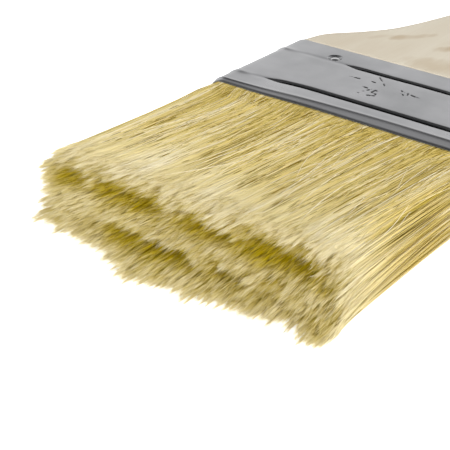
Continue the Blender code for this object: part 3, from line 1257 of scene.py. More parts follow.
@dataclass
class Nails:
    """Four nails, head down in their dimples."""

    places: Places
    x: float = NAIL_X
    depth: float = NAIL_DEPTH
    head_radius: float = 1.2
    shank_radius: float = 0.75
    sides: int = 48

    def profile(self) -> list[tuple[float, float]]:
        """Radius and height of the turned nail, from the middle of its head to its point.

        Returns:
            The profile's points below the sheet's surface.
        """
        top, rim = -0.05, -0.45
        dome = []
        for share in np.linspace(0.12, 1.0, 9):
            dome.append((self.head_radius * share, top - 0.26 * share**2.4))
        return dome + [
            (self.head_radius, rim + 0.08),
            (self.head_radius - 0.08, rim),
            (self.shank_radius, rim),
            (self.shank_radius, -3.95),
            (self.shank_radius * 0.55, -4.4),
            (self.shank_radius * 0.12, -4.8),
        ]

    def build(self, material: bpy.types.Material) -> list[bpy.types.Object]:
        """Build the nails.

        Args:
            material: their finish.

        Returns:
            The four pieces, riding on the brush.
        """
        pieces = []
        profile = np.array(self.profile())
        turn = np.arange(self.sides) * 2.0 * math.pi / self.sides
        for face in Face:
            for hand in Hand:
                x = hand.value * self.x
                rows = []
                for radius, height in profile:
                    level = self.places.mid_z + face.value * (self.places.half_thickness + height)
                    rows.append(np.stack([
                        x + radius * np.cos(turn),
                        self.places.mouth_y + self.depth + face.value * radius * np.sin(turn),
                        np.full(self.sides, level),
                    ], axis=-1))
                faces = loft_faces(len(rows), self.sides)
                name = f"nail_{face.name.lower()}_{hand.name.lower()}"
                piece = write_mesh(f"{name}_turned", np.concatenate(rows), faces, material)
                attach(piece, "brush")
                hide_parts(name)
                pieces.append(piece)
        return pieces


# --------------------------------------------------------------------------- handle


@dataclass
class Handle:
    """Shaped board with eased edges, its tongue in the ferrule and a hang hole."""

    places: Places
    corner: float = 2.8
    tongue_start: float = 17.0
    tongue_inset: float = 0.8
    end_radius: float = 15.0
    hole_radius: float = 4.25
    hole_from_end: float = 13.0
    hole_sides: int = 64
    outline: tuple[tuple[float, float], ...] = (
        (0.0, 37.2),
        (7.0, 34.2),
        (14.0, 28.1),
        (21.0, 23.1),
        (28.0, 20.1),
        (36.0, 17.6),
        (46.0, 15.0),
        (60.0, 12.8),
        (80.0, 12.6),
        (98.0, 14.4),
        (110.0, 15.0),
    )

    def half_width(self, behind: float) -> float:
        """Half width of the board at a distance behind the ferrule.

        Args:
            behind: the distance.

        Returns:
            The half width, on a smooth curve through the outline.
        """
        for index in range(len(self.outline) - 1):
            (x0, y0), (x1, y1) = self.outline[index], self.outline[index + 1]
            if behind > x1:
                continue
            before = self.outline[max(index - 1, 0)]
            after = self.outline[min(index + 2, len(self.outline) - 1)]
            slope0 = (y1 - before[1]) / (x1 - before[0])
            slope1 = (after[1] - y0) / (after[0] - x0)
            run = x1 - x0
            t = (behind - x0) / run
            curve = (2 * t**3 - 3 * t**2 + 1) * y0 + (3 * t**2 - 2 * t**3) * y1
            lean = (t**3 - 2 * t**2 + t) * slope0 + (t**3 - t**2) * slope1
            return curve + run * lean
        return self.outline[-1][1]

    def ring(self, half_x: float, half_z: float, radius: float, y: float) -> np.ndarray:
        """Points round one rounded section.

        Args:
            half_x: half width.
            half_z: half thickness.
            radius: corner radius.
            y: place along the brush.

        Returns:
            The points.
        """
        radius = min(radius, half_x * 0.98, half_z * 0.98)
        points = []
        for start, sign_x, sign_z in ((0.0, 1, 1), (90.0, -1, 1), (180.0, -1, -1), (270.0, 1, -1)):
            for turn in np.radians(np.linspace(start, start + 90.0, 9)):
                points.append((
                    sign_x * (half_x - radius) + radius * math.cos(turn),
                    y,
                    self.places.mid_z + sign_z * (half_z - radius) + radius * math.sin(turn),
                ))
            if start in (0.0, 180.0):
                for share in np.linspace(1.0, -1.0, 26)[1:-1]:
                    x = (1 if start == 0.0 else -1) * share * (half_x - radius)
                    points.append((x, y, self.places.mid_z + sign_z * half_z))
        return np.array(points)

    def build(self, material: bpy.types.Material) -> bpy.types.Object:
        """Build the board.

        Args:
            material: its finish.

        Returns:
            The piece, riding on the brush.
        """
        places = self.places
        inside = places.half_thickness - self.tongue_inset
        rings = []
        for depth in (self.tongue_start, 24.4, 25.2, 26.3, 27.4, 28.2, 33.6, 34.6):
            pinch = 0.9 * float(bump(depth, 26.3, 1.1))
            y = places.mouth_y + depth
            rings.append(self.ring(places.half_width - 1.2, inside - pinch - 0.4, 3.0, y))
        reach = self.outline[-1][0]
        near = np.array([0.12, 0.2, 0.32, 0.5, 0.8, 1.4, 2.2])
        steps = np.concatenate([near, np.linspace(3.0, reach, 96)])
        for behind in steps:
            shy = 0.35 * (1.0 - math.sqrt(min((behind - 0.1) / 0.45, 1.0)))
            soft = float(smooth(behind, 0.0, 8.0))
            half_z = places.half_thickness - shy
            half_x = self.half_width(float(behind)) - shy
            radius = SLEEVE_CORNER + (self.corner - SLEEVE_CORNER) * soft
            rings.append(self.ring(half_x, half_z, radius, places.back_y + behind))
        for turn in np.radians(np.linspace(4.0, 86.0, 26)):
            half_x = self.end_radius * math.cos(turn)
            y = places.back_y + reach + self.end_radius * math.sin(turn)
            inward = max(self.corner - (places.end_y - y), 0.0)
            drop = self.corner - math.sqrt(max(self.corner**2 - inward**2, 0.0))
            rings.append(self.ring(max(half_x, 0.8), places.half_thickness - drop, self.corner, y))
        faces = loft_faces(len(rings), len(rings[0]), turned=True)
        piece = write_mesh("handle_board", np.concatenate(rings), faces, material)
        self.drill(piece)
        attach(piece, "brush")
        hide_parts("handle")
        return piece

    def drill(self, piece: bpy.types.Object) -> None:
        """Cut the hang hole with eased edges through the board.

        Args:
            piece: the board.
        """
        half_z = self.places.half_thickness
        profile = [(self.hole_radius + 1.8, half_z + 0.8)]
        for turn in np.radians(np.linspace(0.0, 90.0, 7)):
            profile.append((self.hole_radius + 1.0 - math.sin(turn), half_z - 1.0 + math.cos(turn)))
        profile += [(radius, -height) for radius, height in reversed(profile)]
        mesh = bmesh.new()
        rows = []
        for radius, height in profile:
            rows.append([
                mesh.verts.new((radius * math.cos(turn) * MM, radius * math.sin(turn) * MM, height * MM))
                for turn in np.arange(self.hole_sides) * 2.0 * math.pi / self.hole_sides
            ])
        for low, high in zip(rows, rows[1:]):
            for index in range(self.hole_sides):
                after = (index + 1) % self.hole_sides
                mesh.faces.new((low[index], high[index], high[after], low[after]))
        mesh.faces.new(rows[0])
        mesh.faces.new(rows[-1][::-1])
        bmesh.ops.recalc_face_normals(mesh, faces=mesh.faces[:])
        data = bpy.data.meshes.new("hang_hole_cutter")
        mesh.to_mesh(data)
        mesh.free()
        cutter = bpy.data.objects.new("hang_hole_cutter", data)
        bpy.context.scene.collection.objects.link(cutter)
        cutter.location = Vector((0.0, self.places.end_y - self.hole_from_end, self.places.mid_z)) * MM
        modifier = piece.modifiers.new("hang_hole", "BOOLEAN")
        modifier.operation = "DIFFERENCE"
        modifier.solver = "EXACT"
        modifier.object = cutter
        apply_modifiers(piece)
        bpy.data.objects.remove(cutter)
        piece.data.shade_smooth()
        piece.data.set_sharp_from_angle(angle=math.radians(40.0))


def apply_modifiers(piece: bpy.types.Object) -> None:
    """Replace a piece's mesh with its evaluated mesh, without modifiers.

    Args:
        piece: the piece, which keeps its name and loses its modifiers.
    """
    bpy.context.view_layer.update()
    graph = bpy.context.evaluated_depsgraph_get()
    mesh = bpy.data.meshes.new_from_object(piece.evaluated_get(graph))
    old = piece.data
    piece.modifiers.clear()
    piece.data = mesh
    bpy.data.meshes.remove(old)


# ----------------------------------------------------------------------------- tuft


@dataclass
class TuftShape:
    """Outer shape of the free bristle."""

    places: Places
    mouth_press: float = 0.95
    mouth_corner: float = 2.95
    lift: float = 0.45
    lift_run: float = 0.5
    swell_power: float = 1.4
    waist: float = 1.7
    waist_run: float = 5.0
    flare: float = 2.6
    flare_power: float = 3.0
    end_rounding: float = 0.82

    def share(self, out: np.ndarray) -> np.ndarray:
        """Share of the free length, 0 at the mouth."""
        return np.maximum(out, 0.0) / self.places.tuft_length

    def half_height(self, out: np.ndarray) -> np.ndarray:
        """Half thickness of the bristle, lifted just past the lip and swelling to the tips.

        Args:
            out: distance out from the mouth.

        Returns:
            The half thickness there.
        """
        lifted = self.places.half_thickness - self.mouth_press + self.lift
        swell = self.places.tip_half_height - lifted
        drop = self.lift * np.exp(-np.maximum(out, 0.0) / self.lift_run)
        return lifted - drop + swell * self.share(out) ** self.swell_power

    def half_width(self, out: np.ndarray) -> np.ndarray:
        """Half width of the bristle, drawn in past the lip and flaring to the tips.

        Args:
            out: distance out from the mouth.

        Returns:
            The half width there.
        """
        pinch = self.waist * (1.0 - np.exp(-np.maximum(out, 0.0) / self.waist_run))
        flare = self.flare * self.share(out) ** self.flare_power
        return self.places.half_width - self.mouth_press - pinch + flare

    def corner(self, out: np.ndarray) -> np.ndarray:
        """Radius of the narrow sides at a distance out."""
        full = self.end_rounding * self.half_height(out)
        return self.mouth_corner + (full - self.mouth_corner) * np.minimum(self.share(out), 1.0)

    def end_x(self, up: np.ndarray, out: np.ndarray) -> np.ndarray:
        """Half width of the rounded section at a height.

        Args:
            up: height above the brush's middle plane.
            out: distance out from the mouth.

        Returns:
            The half width there.
        """
        radius = self.corner(out)
        above = np.maximum(np.abs(up) - (self.half_height(out) - radius), 0.0)
        return self.half_width(out) - radius + np.sqrt(np.maximum(radius**2 - above**2, 0.0))

    def top_at(self, x: np.ndarray, out: np.ndarray) -> np.ndarray:
        """Height of the upper surface above the middle plane.

        Args:
            x: places across the brush.
            out: distances out from the mouth.

        Returns:
            The heights.
        """
        radius = self.corner(out)
        beyond = np.maximum(np.abs(x) - (self.half_width(out) - radius), 0.0)
        return self.half_height(out) - radius + np.sqrt(np.maximum(radius**2 - beyond**2, 0.0))

    def place(self, across: np.ndarray, rise: np.ndarray, out: np.ndarray) -> np.ndarray:
        """Place of a point of the tuft.

        Args:
            across: share of the half width, from -1 to 1.
            rise: share of the half thickness, from -1 to 1.
            out: distance out from the mouth.

        Returns:
            Points in the row frame, in millimetres.
        """
        up = rise * self.half_height(out)
        x = across * self.end_x(np.clip(up, -self.half_height(out), self.half_height(out)), out)
        return np.stack([x, self.places.mouth_y - out, self.places.mid_z + up], axis=-1)


@dataclass(frozen=True)
class Opening:
    """Place where two layers part at the tips.

    It is given by its middle and half length across the brush, the height of its lower lip as a
    share of the half thickness, how far its tips draw back and how far it spreads upward.
    """

    x: float
    half_length: float
    share: float
    paintedshade: float
    tall: float


@dataclass
class TipField:
    """How far out the bristle reaches at each place of the end."""

    shape: TuftShape
    openings: tuple[Opening, ...] = (
        Opening(-28.0, 3.5, PARTING, 4.4, 2.2),
        Opening(-13.0, 8.0, PARTING, 5.0, 2.6),
        Opening(6.5, 6.5, PARTING, 4.6, 2.4),
        Opening(22.5, 8.0, PARTING, 5.2, 2.6),
        Opening(-11.0, 6.5, -PARTING, 4.4, 2.0),
        Opening(-1.0, 5.0, -PARTING, 3.8, 1.8),
        Opening(12.5, 4.0, -PARTING, 3.6, 1.8),
        Opening(23.0, 3.6, -PARTING, 3.2, 1.6),
    )
    lower_spread: float = 0.7
    ripple: Waves = field(default_factory=lambda: Waves(11, 9.0, 7.0))
    swing: Waves = field(default_factory=lambda: Waves(12, 30.0, 16.0))

    def reach(self, x: np.ndarray, up: np.ndarray) -> np.ndarray:
        """Distance out at which the bristle ends.

        Args:
            x: places across the brush at the tips.
            up: heights above the middle plane at the tips.

        Returns:
            The mean distance out of the tips there.
        """
        half = self.shape.places.tip_half_height
        out = self.level(x, up)
        for opening in self.openings:
            away = np.abs(x - opening.x)
            near = 1.0 - smooth(away, opening.half_length * 0.5, opening.half_length * 1.4)
            off = up - opening.share * half
            spread = np.where(off < 0.0, self.lower_spread, opening.tall)
            out = out - opening.paintedshade * near * bump(off, 0.0, spread)
        for line in (PARTING * half, -PARTING * half):
            out = out - 0.6 * bump(up, line, 1.2)
        return out

    def level(self, x: np.ndarray, up: np.ndarray) -> np.ndarray:
        """Distance out of the end before the layers part.

        Args:
            x: places across the brush at the tips.
            up: heights above the middle plane at the tips.

        Returns:
            The distances.
        """
        half = self.shape.places.tip_half_height
        wide = self.shape.places.half_width
        out = np.full(np.broadcast(x, up).shape, self.shape.places.tuft_length + 0.3)
        out = out - 2.0 * smooth(up / half, PARTING, PARTING + 0.25)
        out = out - 1.0 * smooth(up / half, 0.72, 1.0) + 0.9 * smooth(-up / half, 0.3, 0.7)
        uneven = 0.8 + 2.8 * bump(x, -4.0, 10.0) - 2.2 * bump(x, -28.0, 6.0)
        uneven = uneven - 3.2 * bump(x, 25.5, 6.0) + 0.9 * smooth(x, 28.0, 34.0)
        out = out + uneven * smooth(-up / half, 0.1, 0.7)
        out = out - 1.0 * smooth(np.abs(x), wide - 7.0, wide)
        return out + 0.40 * self.ripple.at(x, up * 1.4) + 0.45 * self.swing.at(x, up)


@dataclass
class Strands:
    """Paths, radii and shades of a batch of bristles."""

    paths: np.ndarray
    radii: np.ndarray
    shades: np.ndarray
    spin: np.ndarray
    clump: np.ndarray | None = None

    def build(self, name: str, material: bpy.types.Material, sides: int = 3) -> bpy.types.Object:
        """Write the batch as one mesh of closed tubes.

        Args:
            name: name of the piece.
            material: its finish.
            sides: sides of each tube.

        Returns:
            The object.
        """
        count, rings, _ = self.paths.shape
        points = tube_points(self.paths, self.radii, self.spin, sides)
        faces = tube_faces(count, rings - 1, sides)
        shades = spread_to_tubes(self.shades, sides)
        return write_mesh(name, points, faces, material, {"strand": np.clip(shades, 0.0, 1.0)})


@dataclass(frozen=True)
class Loose:
    """A batch of loose bristles on top of the tuft.

    It is given by the name of its piece, its random seed, how many bristles there are and how many
    rings each has, the least and greatest length, the furthest root, the spreads of sideways drift
    and bow, how high most of them and the bowed ones stand clear, how deep their roots lie, the
    least and greatest radius, and the tones to choose from.
    """

    name: str
    seed: int
    count: int
    rings: int
    run: tuple[float, float]
    last: float
    drift: float
    bow: float
    clear: float
    bowed: float
    rooted: float
    radius: tuple[float, float]
    tones: tuple[float, ...]


@dataclass
class Tuft:
    """The free bristle: three core masses and the bristles that show round them."""

    shape: TuftShape
    tips: TipField
    clump_gap: float = 0.85
    pull: float = 0.62
    pointed: float = 2.6
    scatter: float = 0.8
    tip_gap: float = 0.25
    tip_radius: float = 0.092
    flag_count: int = 14000
    flag_radius: float = 0.030
    flag_longest: float = 3.8
    surface_count: int = 4000
    surface_radius: float = 0.082
    side_count: int = 1100
    side_radius: float = 0.085
    surface_depth: float = 1.15
    tip_run: float = 11.0
    blend_run: float = 40.0
    lean: Waves = field(default_factory=lambda: Waves(21, 24.0, 9.0))
    streak: Waves = field(default_factory=lambda: Waves(22, 1.6, 900.0, 30))
    patch: Waves = field(default_factory=lambda: Waves(23, 12.0, 40.0))
    loose: tuple[Loose, ...] = (
        Loose(
            name="bristle_strays",
            seed=80,
            count=260,
            rings=12,
            run=(14.0, 30.0),
            last=26.0,
            drift=2.0,
            bow=0.9,
            clear=0.14,
            bowed=0.9,
            rooted=0.6,
            radius=(0.045, 0.08),
            tones=(0.2, 0.5, 0.8, 0.95),
        ),
        # Painted shadows: short dark lengths that lie on the surface where gaps between bristles fall
        # into shade.
        Loose(
            name="bristle_painted_shadow_lengths",
            seed=81,
            count=560,
            rings=6,
            run=(2.5, 9.0),
            last=40.0,
            drift=0.8,
            bow=0.1,
            clear=0.07,
            bowed=0.12,
            rooted=0.12,
            radius=(0.05, 0.09),
            tones=(0.0, 0.0, 0.1),
        ),
    )

    def __post_init__(self) -> None:
        """Draw the clumps that the tips gather into."""
        rng = np.random.default_rng(31)
        half_x = self.shape.places.half_width + 0.5
        half_z = self.shape.places.tip_half_height
        xs = np.arange(-half_x, half_x, self.clump_gap)
        zs = np.arange(-half_z, half_z + 0.5, self.clump_gap * 0.9)
        grid = np.array([(x, z) for x in xs for z in zs])
        grid += rng.uniform(-0.5, 0.5, grid.shape) * self.clump_gap
        self.clumps = grid
        self.clump_long = rng.normal(0.0, 1.0, len(grid))
        self.clump_tone = rng.normal(0.0, 0.08, len(grid))
        self.clump_flag = np.minimum(rng.exponential(1.3, len(grid)), self.flag_longest)
        self.clump_swing = rng.normal(0.0, 0.35, (len(grid), 2))
        self.tree = KDTree(len(grid))
        for index, (x, z) in enumerate(grid):
            self.tree.insert((x, z, 0.0), index)
        self.tree.balance()

    def nearest(self, x: np.ndarray, up: np.ndarray) -> np.ndarray:
        """Number of the clump nearest each tip."""
        return np.array([self.tree.find((a, b, 0.0))[1] for a, b in zip(x, up)])

    def strands(
        self,
        rng: np.random.Generator,
        across: np.ndarray,
        rise: np.ndarray,
        stations: tuple[float, ...],
        from_tip: bool,
        radius: float,
    ) -> Strands:
        """Lay out a batch of bristles.

        Args:
            rng: random draws.
            across: share of the half width of each bristle.
            rise: share of the half thickness of each bristle.
            stations: shares of the bristle's run, or distances back from its tip.
            from_tip: True if the stations are distances back from the tip.
            radius: mean radius of a bristle.

        Returns:
            The batch.
        """
        count = len(across)
        tip = self.shape.place(across, rise, np.full(count, self.shape.places.tuft_length))
        tip_up = tip[:, 2] - self.shape.places.mid_z
        clump = self.nearest(tip[:, 0], tip_up)
        centre = self.clumps[clump]
        long = self.tips.reach(tip[:, 0], tip_up) + self.clump_long[clump]
        away = np.hypot(tip[:, 0] - centre[:, 0], tip_up - centre[:, 1])
        long = long - self.pointed * (away / self.clump_gap) ** 2 + 0.5
        long = long + rng.normal(0.0, self.scatter, count)
        if from_tip:
            out = long[:, None] - np.array(stations)[None, :]
        else:
            out = -3.0 + (long[:, None] + 3.0) * np.array(stations)[None, :]
        share = np.clip(out / self.shape.places.tuft_length, 0.0, None)
        paths = self.shape.place(across[:, None], rise[:, None], out)
        drift = 0.8 * self.lean.at(tip[:, 0], tip_up) + rng.normal(0.0, 0.6, count)
        bow = rng.normal(0.0, 0.28, count)
        sway = drift[:, None] * (share**1.5 - 1.0) + bow[:, None] * np.sin(share * math.pi)
        paths[:, :, 0] += sway * smooth(share, 0.0, 0.1)
        length = self.shape.places.tuft_length
        gather = self.pull * smooth(out, length - 8.0, length + 1.0)
        paths[:, :, 0] += gather * (centre[:, 0] - tip[:, 0])[:, None]
        paths[:, :, 2] += gather * (centre[:, 1] - tip_up)[:, None]
        fray = smooth(out - long[:, None], -6.0, 0.0)
        paths[:, :, 0] += fray * rng.normal(0.0, 0.22, count)[:, None]
        paths[:, :, 2] += fray * rng.normal(0.0, 0.22, count)[:, None]
        paths[:, :, 2] = np.maximum(paths[:, :, 2], FLOOR_CLEARANCE)
        thick = radius * rng.uniform(0.75, 1.25, count)[:, None]
        taper = 1.0 - 0.60 * smooth(out - long[:, None], -7.0, 0.0)
        radii = (thick * taper)[:, :-1]
        tone = 0.5 + 0.15 * rng.normal(0.0, 1.0, count) + self.clump_tone[clump]
        # Painted light: bristles high in the tuft are painted paler, offsetting the shade on the top
        # layer's tips.
        tone = tone + 0.30 * smooth(rise, 0.5, 0.85)
        shades = np.zeros((count, out.shape[1], 3))
        shades[:, :, 0] = tone[:, None]
        shades[:, :, 2] = share
        # Painted shade: tips that end behind the end's level take the shaded colour.
        below = self.tips.level(tip[:, 0], tip_up)[:, None] - out
        shades[:, :, 1] = smooth(below, -0.9, 2.3)
        return Strands(paths, radii, shades, rng.uniform(0.0, 2.0 * math.pi, count), clump)

    def hold(self, piece: bpy.types.Object) -> bpy.types.Object:
        """Fix a piece's place into its mesh and log its size.

        Args:
            piece: the piece.

        Returns:
            The same piece.
        """
        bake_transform(piece)
        report(piece)
        return piece

    def build_tips(self, layer: Layer, material: bpy.types.Material) -> bpy.types.Object:
        """Build the ends of the bristles inside one layer.

        Args:
            layer: the layer.
            material: finish of the bristles.

        Returns:
            The piece.
        """
        rng = np.random.default_rng(40 + list(Layer).index(layer))
        half_x = self.shape.places.half_width + 0.2
        half_z = self.shape.places.tip_half_height
        xs = np.arange(-half_x, half_x, self.tip_gap)
        zs = np.arange(layer.low * half_z, layer.high * half_z, self.tip_gap * 0.87)
        x, up = (part.ravel() for part in np.meshgrid(xs, zs))
        x = x + rng.uniform(-0.5, 0.5, len(x)) * self.tip_gap
        up = up + rng.uniform(-0.5, 0.5, len(up)) * self.tip_gap
        limit = self.shape.end_x(np.clip(up, -half_z, half_z), self.shape.places.tuft_length)
        keep = (np.abs(x) < limit) & (np.abs(up) < half_z)
        x, up, limit = x[keep], up[keep], limit[keep]
        back = (self.tip_run, 6.0, 2.4, 0.0)
        batch = self.strands(rng, x / limit, up / half_z, back, True, self.tip_radius)
        # Less painted shade on the tips near the outer edges of the layer.
        edge = np.minimum(limit - np.abs(x), half_z - up)
        batch.shades[:, :, 1] *= smooth(edge, 0.2, 1.6)[:, None] * 0.9 + 0.1
        piece = batch.build(f"bristle_tips_{layer.label}", material)
        return self.hold(piece)

    def build_flags(self, layer: Layer, material: bpy.types.Material) -> bpy.types.Object:
        """Build the fine split fibres at the tips of one layer.

        Args:
            layer: the layer.
            material: finish of the bristles.

        Returns:
            The piece.
        """
        rng = np.random.default_rng(50 + list(Layer).index(layer))
        half_x = self.shape.places.half_width + 0.2
        half_z = self.shape.places.tip_half_height
        x = rng.uniform(-half_x, half_x, self.flag_count)
        up = rng.uniform(layer.low * half_z, layer.high * half_z, self.flag_count)
        limit = self.shape.end_x(up, self.shape.places.tuft_length)
        keep = np.abs(x) < limit
        x, up, limit = x[keep], up[keep], limit[keep]
        back = (4.0, 1.5, 0.0)
        batch = self.strands(rng, x / limit, up / half_z, back, True, self.flag_radius)
        count = len(x)
        longer = self.clump_flag[batch.clump] * rng.uniform(0.1, 1.0, count)
        longer = longer * (0.7 + 0.5 * smooth(-up / half_z, 0.2, 0.8))
        centre = self.clumps[batch.clump]
        swing = self.clump_swing[batch.clump] + rng.normal(0.0, 0.16, (count, 2))
        share = np.array([0.0, 0.5, 1.0])
        batch.paths[:, :, 1] -= longer[:, None] * share
        here = batch.paths[:, -1, (0, 2)] - np.array([0.0, self.shape.places.mid_z])
        swing = swing + 0.6 * (centre - here) * (longer / self.flag_longest)[:, None]
        batch.paths[:, :, 0] += swing[:, :1] * share**1.5
        batch.paths[:, :, 2] += swing[:, 1:] * share**1.5
        batch.paths[:, :, 2] = np.maximum(batch.paths[:, :, 2], FLOOR_CLEARANCE)
        batch.shades[:, :, 0] += 0.06
        # Painted shade on the split fibres, weaker than on the tips.
        batch.shades[:, :, 1] *= 0.7
        piece = batch.build(f"bristle_flags_{layer.label}", material)
        return self.hold(piece)

    def build_surface(self, face: Face, material: bpy.types.Material) -> bpy.types.Object:
        """Build the long bristles that lie on one broad face.

        Args:
            face: the face.
            material: finish of the bristles.

        Returns:
            The piece.
        """
        rng = np.random.default_rng(60 + face.value)
        count = self.surface_count
        across = (np.arange(count) + rng.uniform(0.0, 1.0, count)) / count * 2.0 - 1.0
        rng.shuffle(across)
        under = self.surface_depth * rng.uniform(0.0, 1.0, count) ** 1.3
        rise = face.value * (1.0 - under / 6.5)
        batch = self.strands(rng, across, rise, LONG_STATIONS, False, self.surface_radius)
        self.shade_long(batch, under, rng)
        piece = batch.build(f"bristle_surface_{face.name.lower()}", material)
        return self.hold(piece)

    def build_sides(self, hand: Hand, material: bpy.types.Material) -> bpy.types.Object:
        """Build the long bristles round one narrow side.

        Args:
            hand: the side.
            material: finish of the bristles.

        Returns:
            The piece.
        """
        rng = np.random.default_rng(70 + hand.value)
        count = self.side_count
        under = self.surface_depth * rng.uniform(0.0, 1.0, count) ** 1.3
        rise = np.sin(rng.uniform(-1.0, 1.0, count) * math.pi / 2.0) * 0.985
        across = hand.value * (1.0 - under / 36.0)
        batch = self.strands(rng, across, rise, LONG_STATIONS, False, self.side_radius)
        self.shade_long(batch, under, rng)
        piece = batch.build(f"bristle_side_{hand.name.lower()}", material)
        return self.hold(piece)

    def build_loose(self, loose: Loose, material: bpy.types.Material) -> bpy.types.Object:
        """Build loose bristles that lie across the others on top.

        Args:
            loose: how many there are and how they lie.
            material: finish of the bristles.

        Returns:
            The piece.
        """
        rng = np.random.default_rng(loose.seed)
        share = np.linspace(0.0, 1.0, loose.rings)
        run = rng.uniform(*loose.run, loose.count)
        root = rng.uniform(-2.0, loose.last, loose.count)
        run = np.minimum(run, self.shape.places.tuft_length - root)
        out = root[:, None] + run[:, None] * share
        start = rng.uniform(-0.95, 1.0, loose.count) * self.shape.places.half_width
        drift = rng.normal(0.0, loose.drift, loose.count) * run / 20.0
        bow = rng.normal(0.0, loose.bow, loose.count) * run / 20.0
        x = start[:, None] + drift[:, None] * share**1.4 + bow[:, None] * np.sin(share * math.pi)
        x = np.minimum(x, self.shape.half_width(out) + 0.1)
        clear = np.where(rng.uniform(0.0, 1.0, loose.count) < 0.12, loose.bowed, loose.clear)
        clear = clear * rng.uniform(0.3, 1.0, loose.count)
        up = self.shape.top_at(x, out) - 0.04 + clear[:, None] * np.sin(share * math.pi)
        up = up - loose.rooted * (1.0 - smooth(share, 0.0, 0.15))
        paths = np.stack([x, self.shape.places.mouth_y - out, self.shape.places.mid_z + up], axis=-1)
        thick = rng.uniform(*loose.radius, loose.count)[:, None] * (1.0 - 0.6 * smooth(share, 0.6, 1.0))
        shades = np.zeros((loose.count, len(share), 3))
        shades[:, :, 0] = rng.choice(loose.tones, loose.count)[:, None]
        shades[:, :, 2] = out / self.shape.places.tuft_length
        batch = Strands(paths, thick[:, :-1], shades, rng.uniform(0.0, 2.0 * math.pi, loose.count))
        return self.hold(batch.build(loose.name, material, 4))

    def shade_long(self, batch: Strands, under: np.ndarray, rng: np.random.Generator) -> None:
        """Shade long bristles in streaks, with painted shade where they lie deeper and painted shadow
        streaks.

        Args:
            batch: the bristles.
            under: how far each lies below the surface.
            rng: random draws.
        """
        x = batch.paths[:, :, 0]
        out = self.shape.places.mouth_y - batch.paths[:, :, 1]
        up = batch.paths[:, :, 2] - self.shape.places.mid_z
        tone = batch.shades[:, :, 0]
        tone += 0.05 * self.streak.at(x[:, :1], 0.0)
        tone += (0.06 + 0.16 * smooth(out, 34.0, 48.0)) * self.patch.at(x, out)
        # Painted shadow: short darker lengths on some bristles stand in for the shaded gaps between
        # them.
        dark = rng.uniform(0.0, 1.0, len(x)) < 0.14
        centre = rng.uniform(2.0, 48.0, (len(x), 1))
        tone -= 0.45 * dark[:, None] * bump(out, centre, 6.0)
        white = rng.uniform(0.0, 1.0, len(x)) < 0.10
        tone += 0.28 * white[:, None]
        tone -= 0.30 * (1.0 - smooth(out, 36.0, 52.0)) * smooth(up, 2.5, 5.0)
        pale = smooth(out, 30.0, 50.0)
        # Painted shade: bristles that lie deeper are darker and take the shaded colour.
        buried_shade = smooth(under, 0.25, self.surface_depth)[:, None]
        tone -= 0.16 * buried_shade
        tone[:] = 0.5 + (tone - 0.5) * (1.0 - 0.6 * pale) + 0.06 * pale
        batch.shades[:, :, 1] = 0.55 * buried_shade * (1.0 - 0.75 * pale)

    def build_core(self, layer: Layer, material: bpy.types.Material) -> bpy.types.Object:
        """Build the mass of one layer behind the bristles that show.

        Args:
            layer: the layer.
            material: its finish.

        Returns:
            The piece, which stands for the layer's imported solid.
        """
        inset, gap = 0.75, 0.12
        outs = np.concatenate([np.linspace(-2.2, 0.0, 3), np.linspace(2.0, 47.0, 19)])
        rings = []
        for out in outs:
            half = float(self.shape.half_height(out)) - inset
            full = float(self.shape.half_height(out))
            low = layer.low * full + gap if layer.low > -1.0 else -half
            high = layer.high * full - gap if layer.high < 1.0 else half
            turn = np.linspace(0.0, 1.0, 13)
            up = low + (high - low) * turn
            side_x = self.shape.end_x(np.clip(up * full / half, -full, full), out) - inset
            side_x = side_x - 0.5 * (bump(up, low, 0.5) + bump(up, high, 0.5))
            right = np.stack([side_x, up], axis=-1)
            top_x = np.linspace(side_x[-1], -side_x[-1], 42)[1:-1]
            bottom_x = np.linspace(-side_x[0], side_x[0], 42)[1:-1]
            top = np.stack([top_x, np.full(40, high)], axis=-1)
            left = np.stack([-side_x[::-1], up[::-1]], axis=-1)
            bottom = np.stack([bottom_x, np.full(40, low)], axis=-1)
            loop = np.concatenate([right, top, left, bottom])
            y = np.full(len(loop), self.shape.places.mouth_y - out)
            rings.append(np.stack([loop[:, 0], y, loop[:, 1] + self.shape.places.mid_z], axis=-1))
        faces = loft_faces(len(rings), len(rings[0]))
        points = np.concatenate(rings)
        shades = np.zeros((len(points), 3))
        # Painted shade: the core is slightly dark and takes most of the shaded colour, as bristles deep
        # in the tuft.
        shades[:, 0] = 0.42
        shades[:, 1] = 0.7
        shades[:, 2] = np.minimum(self.shape.share(self.shape.places.mouth_y - points[:, 1]), 1.0)
        piece = write_mesh(f"bristle_core_{layer.label}", points, faces, material, {"strand": shades})
        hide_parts(f"bristles_{layer.label}")
        return self.hold(piece)

    def build(self, material: bpy.types.Material) -> None:
        """Build the whole tuft.

        Args:
            material: finish of the bristles.
        """
        for layer in Layer:
            self.build_core(layer, material)
            self.build_tips(layer, material)
            self.build_flags(layer, material)
        for face in Face:
            self.build_surface(face, material)
        for hand in Hand:
            self.build_sides(hand, material)
        for loose in self.loose:
            self.build_loose(loose, material)


# --------------------------------------------------------------------------- studio


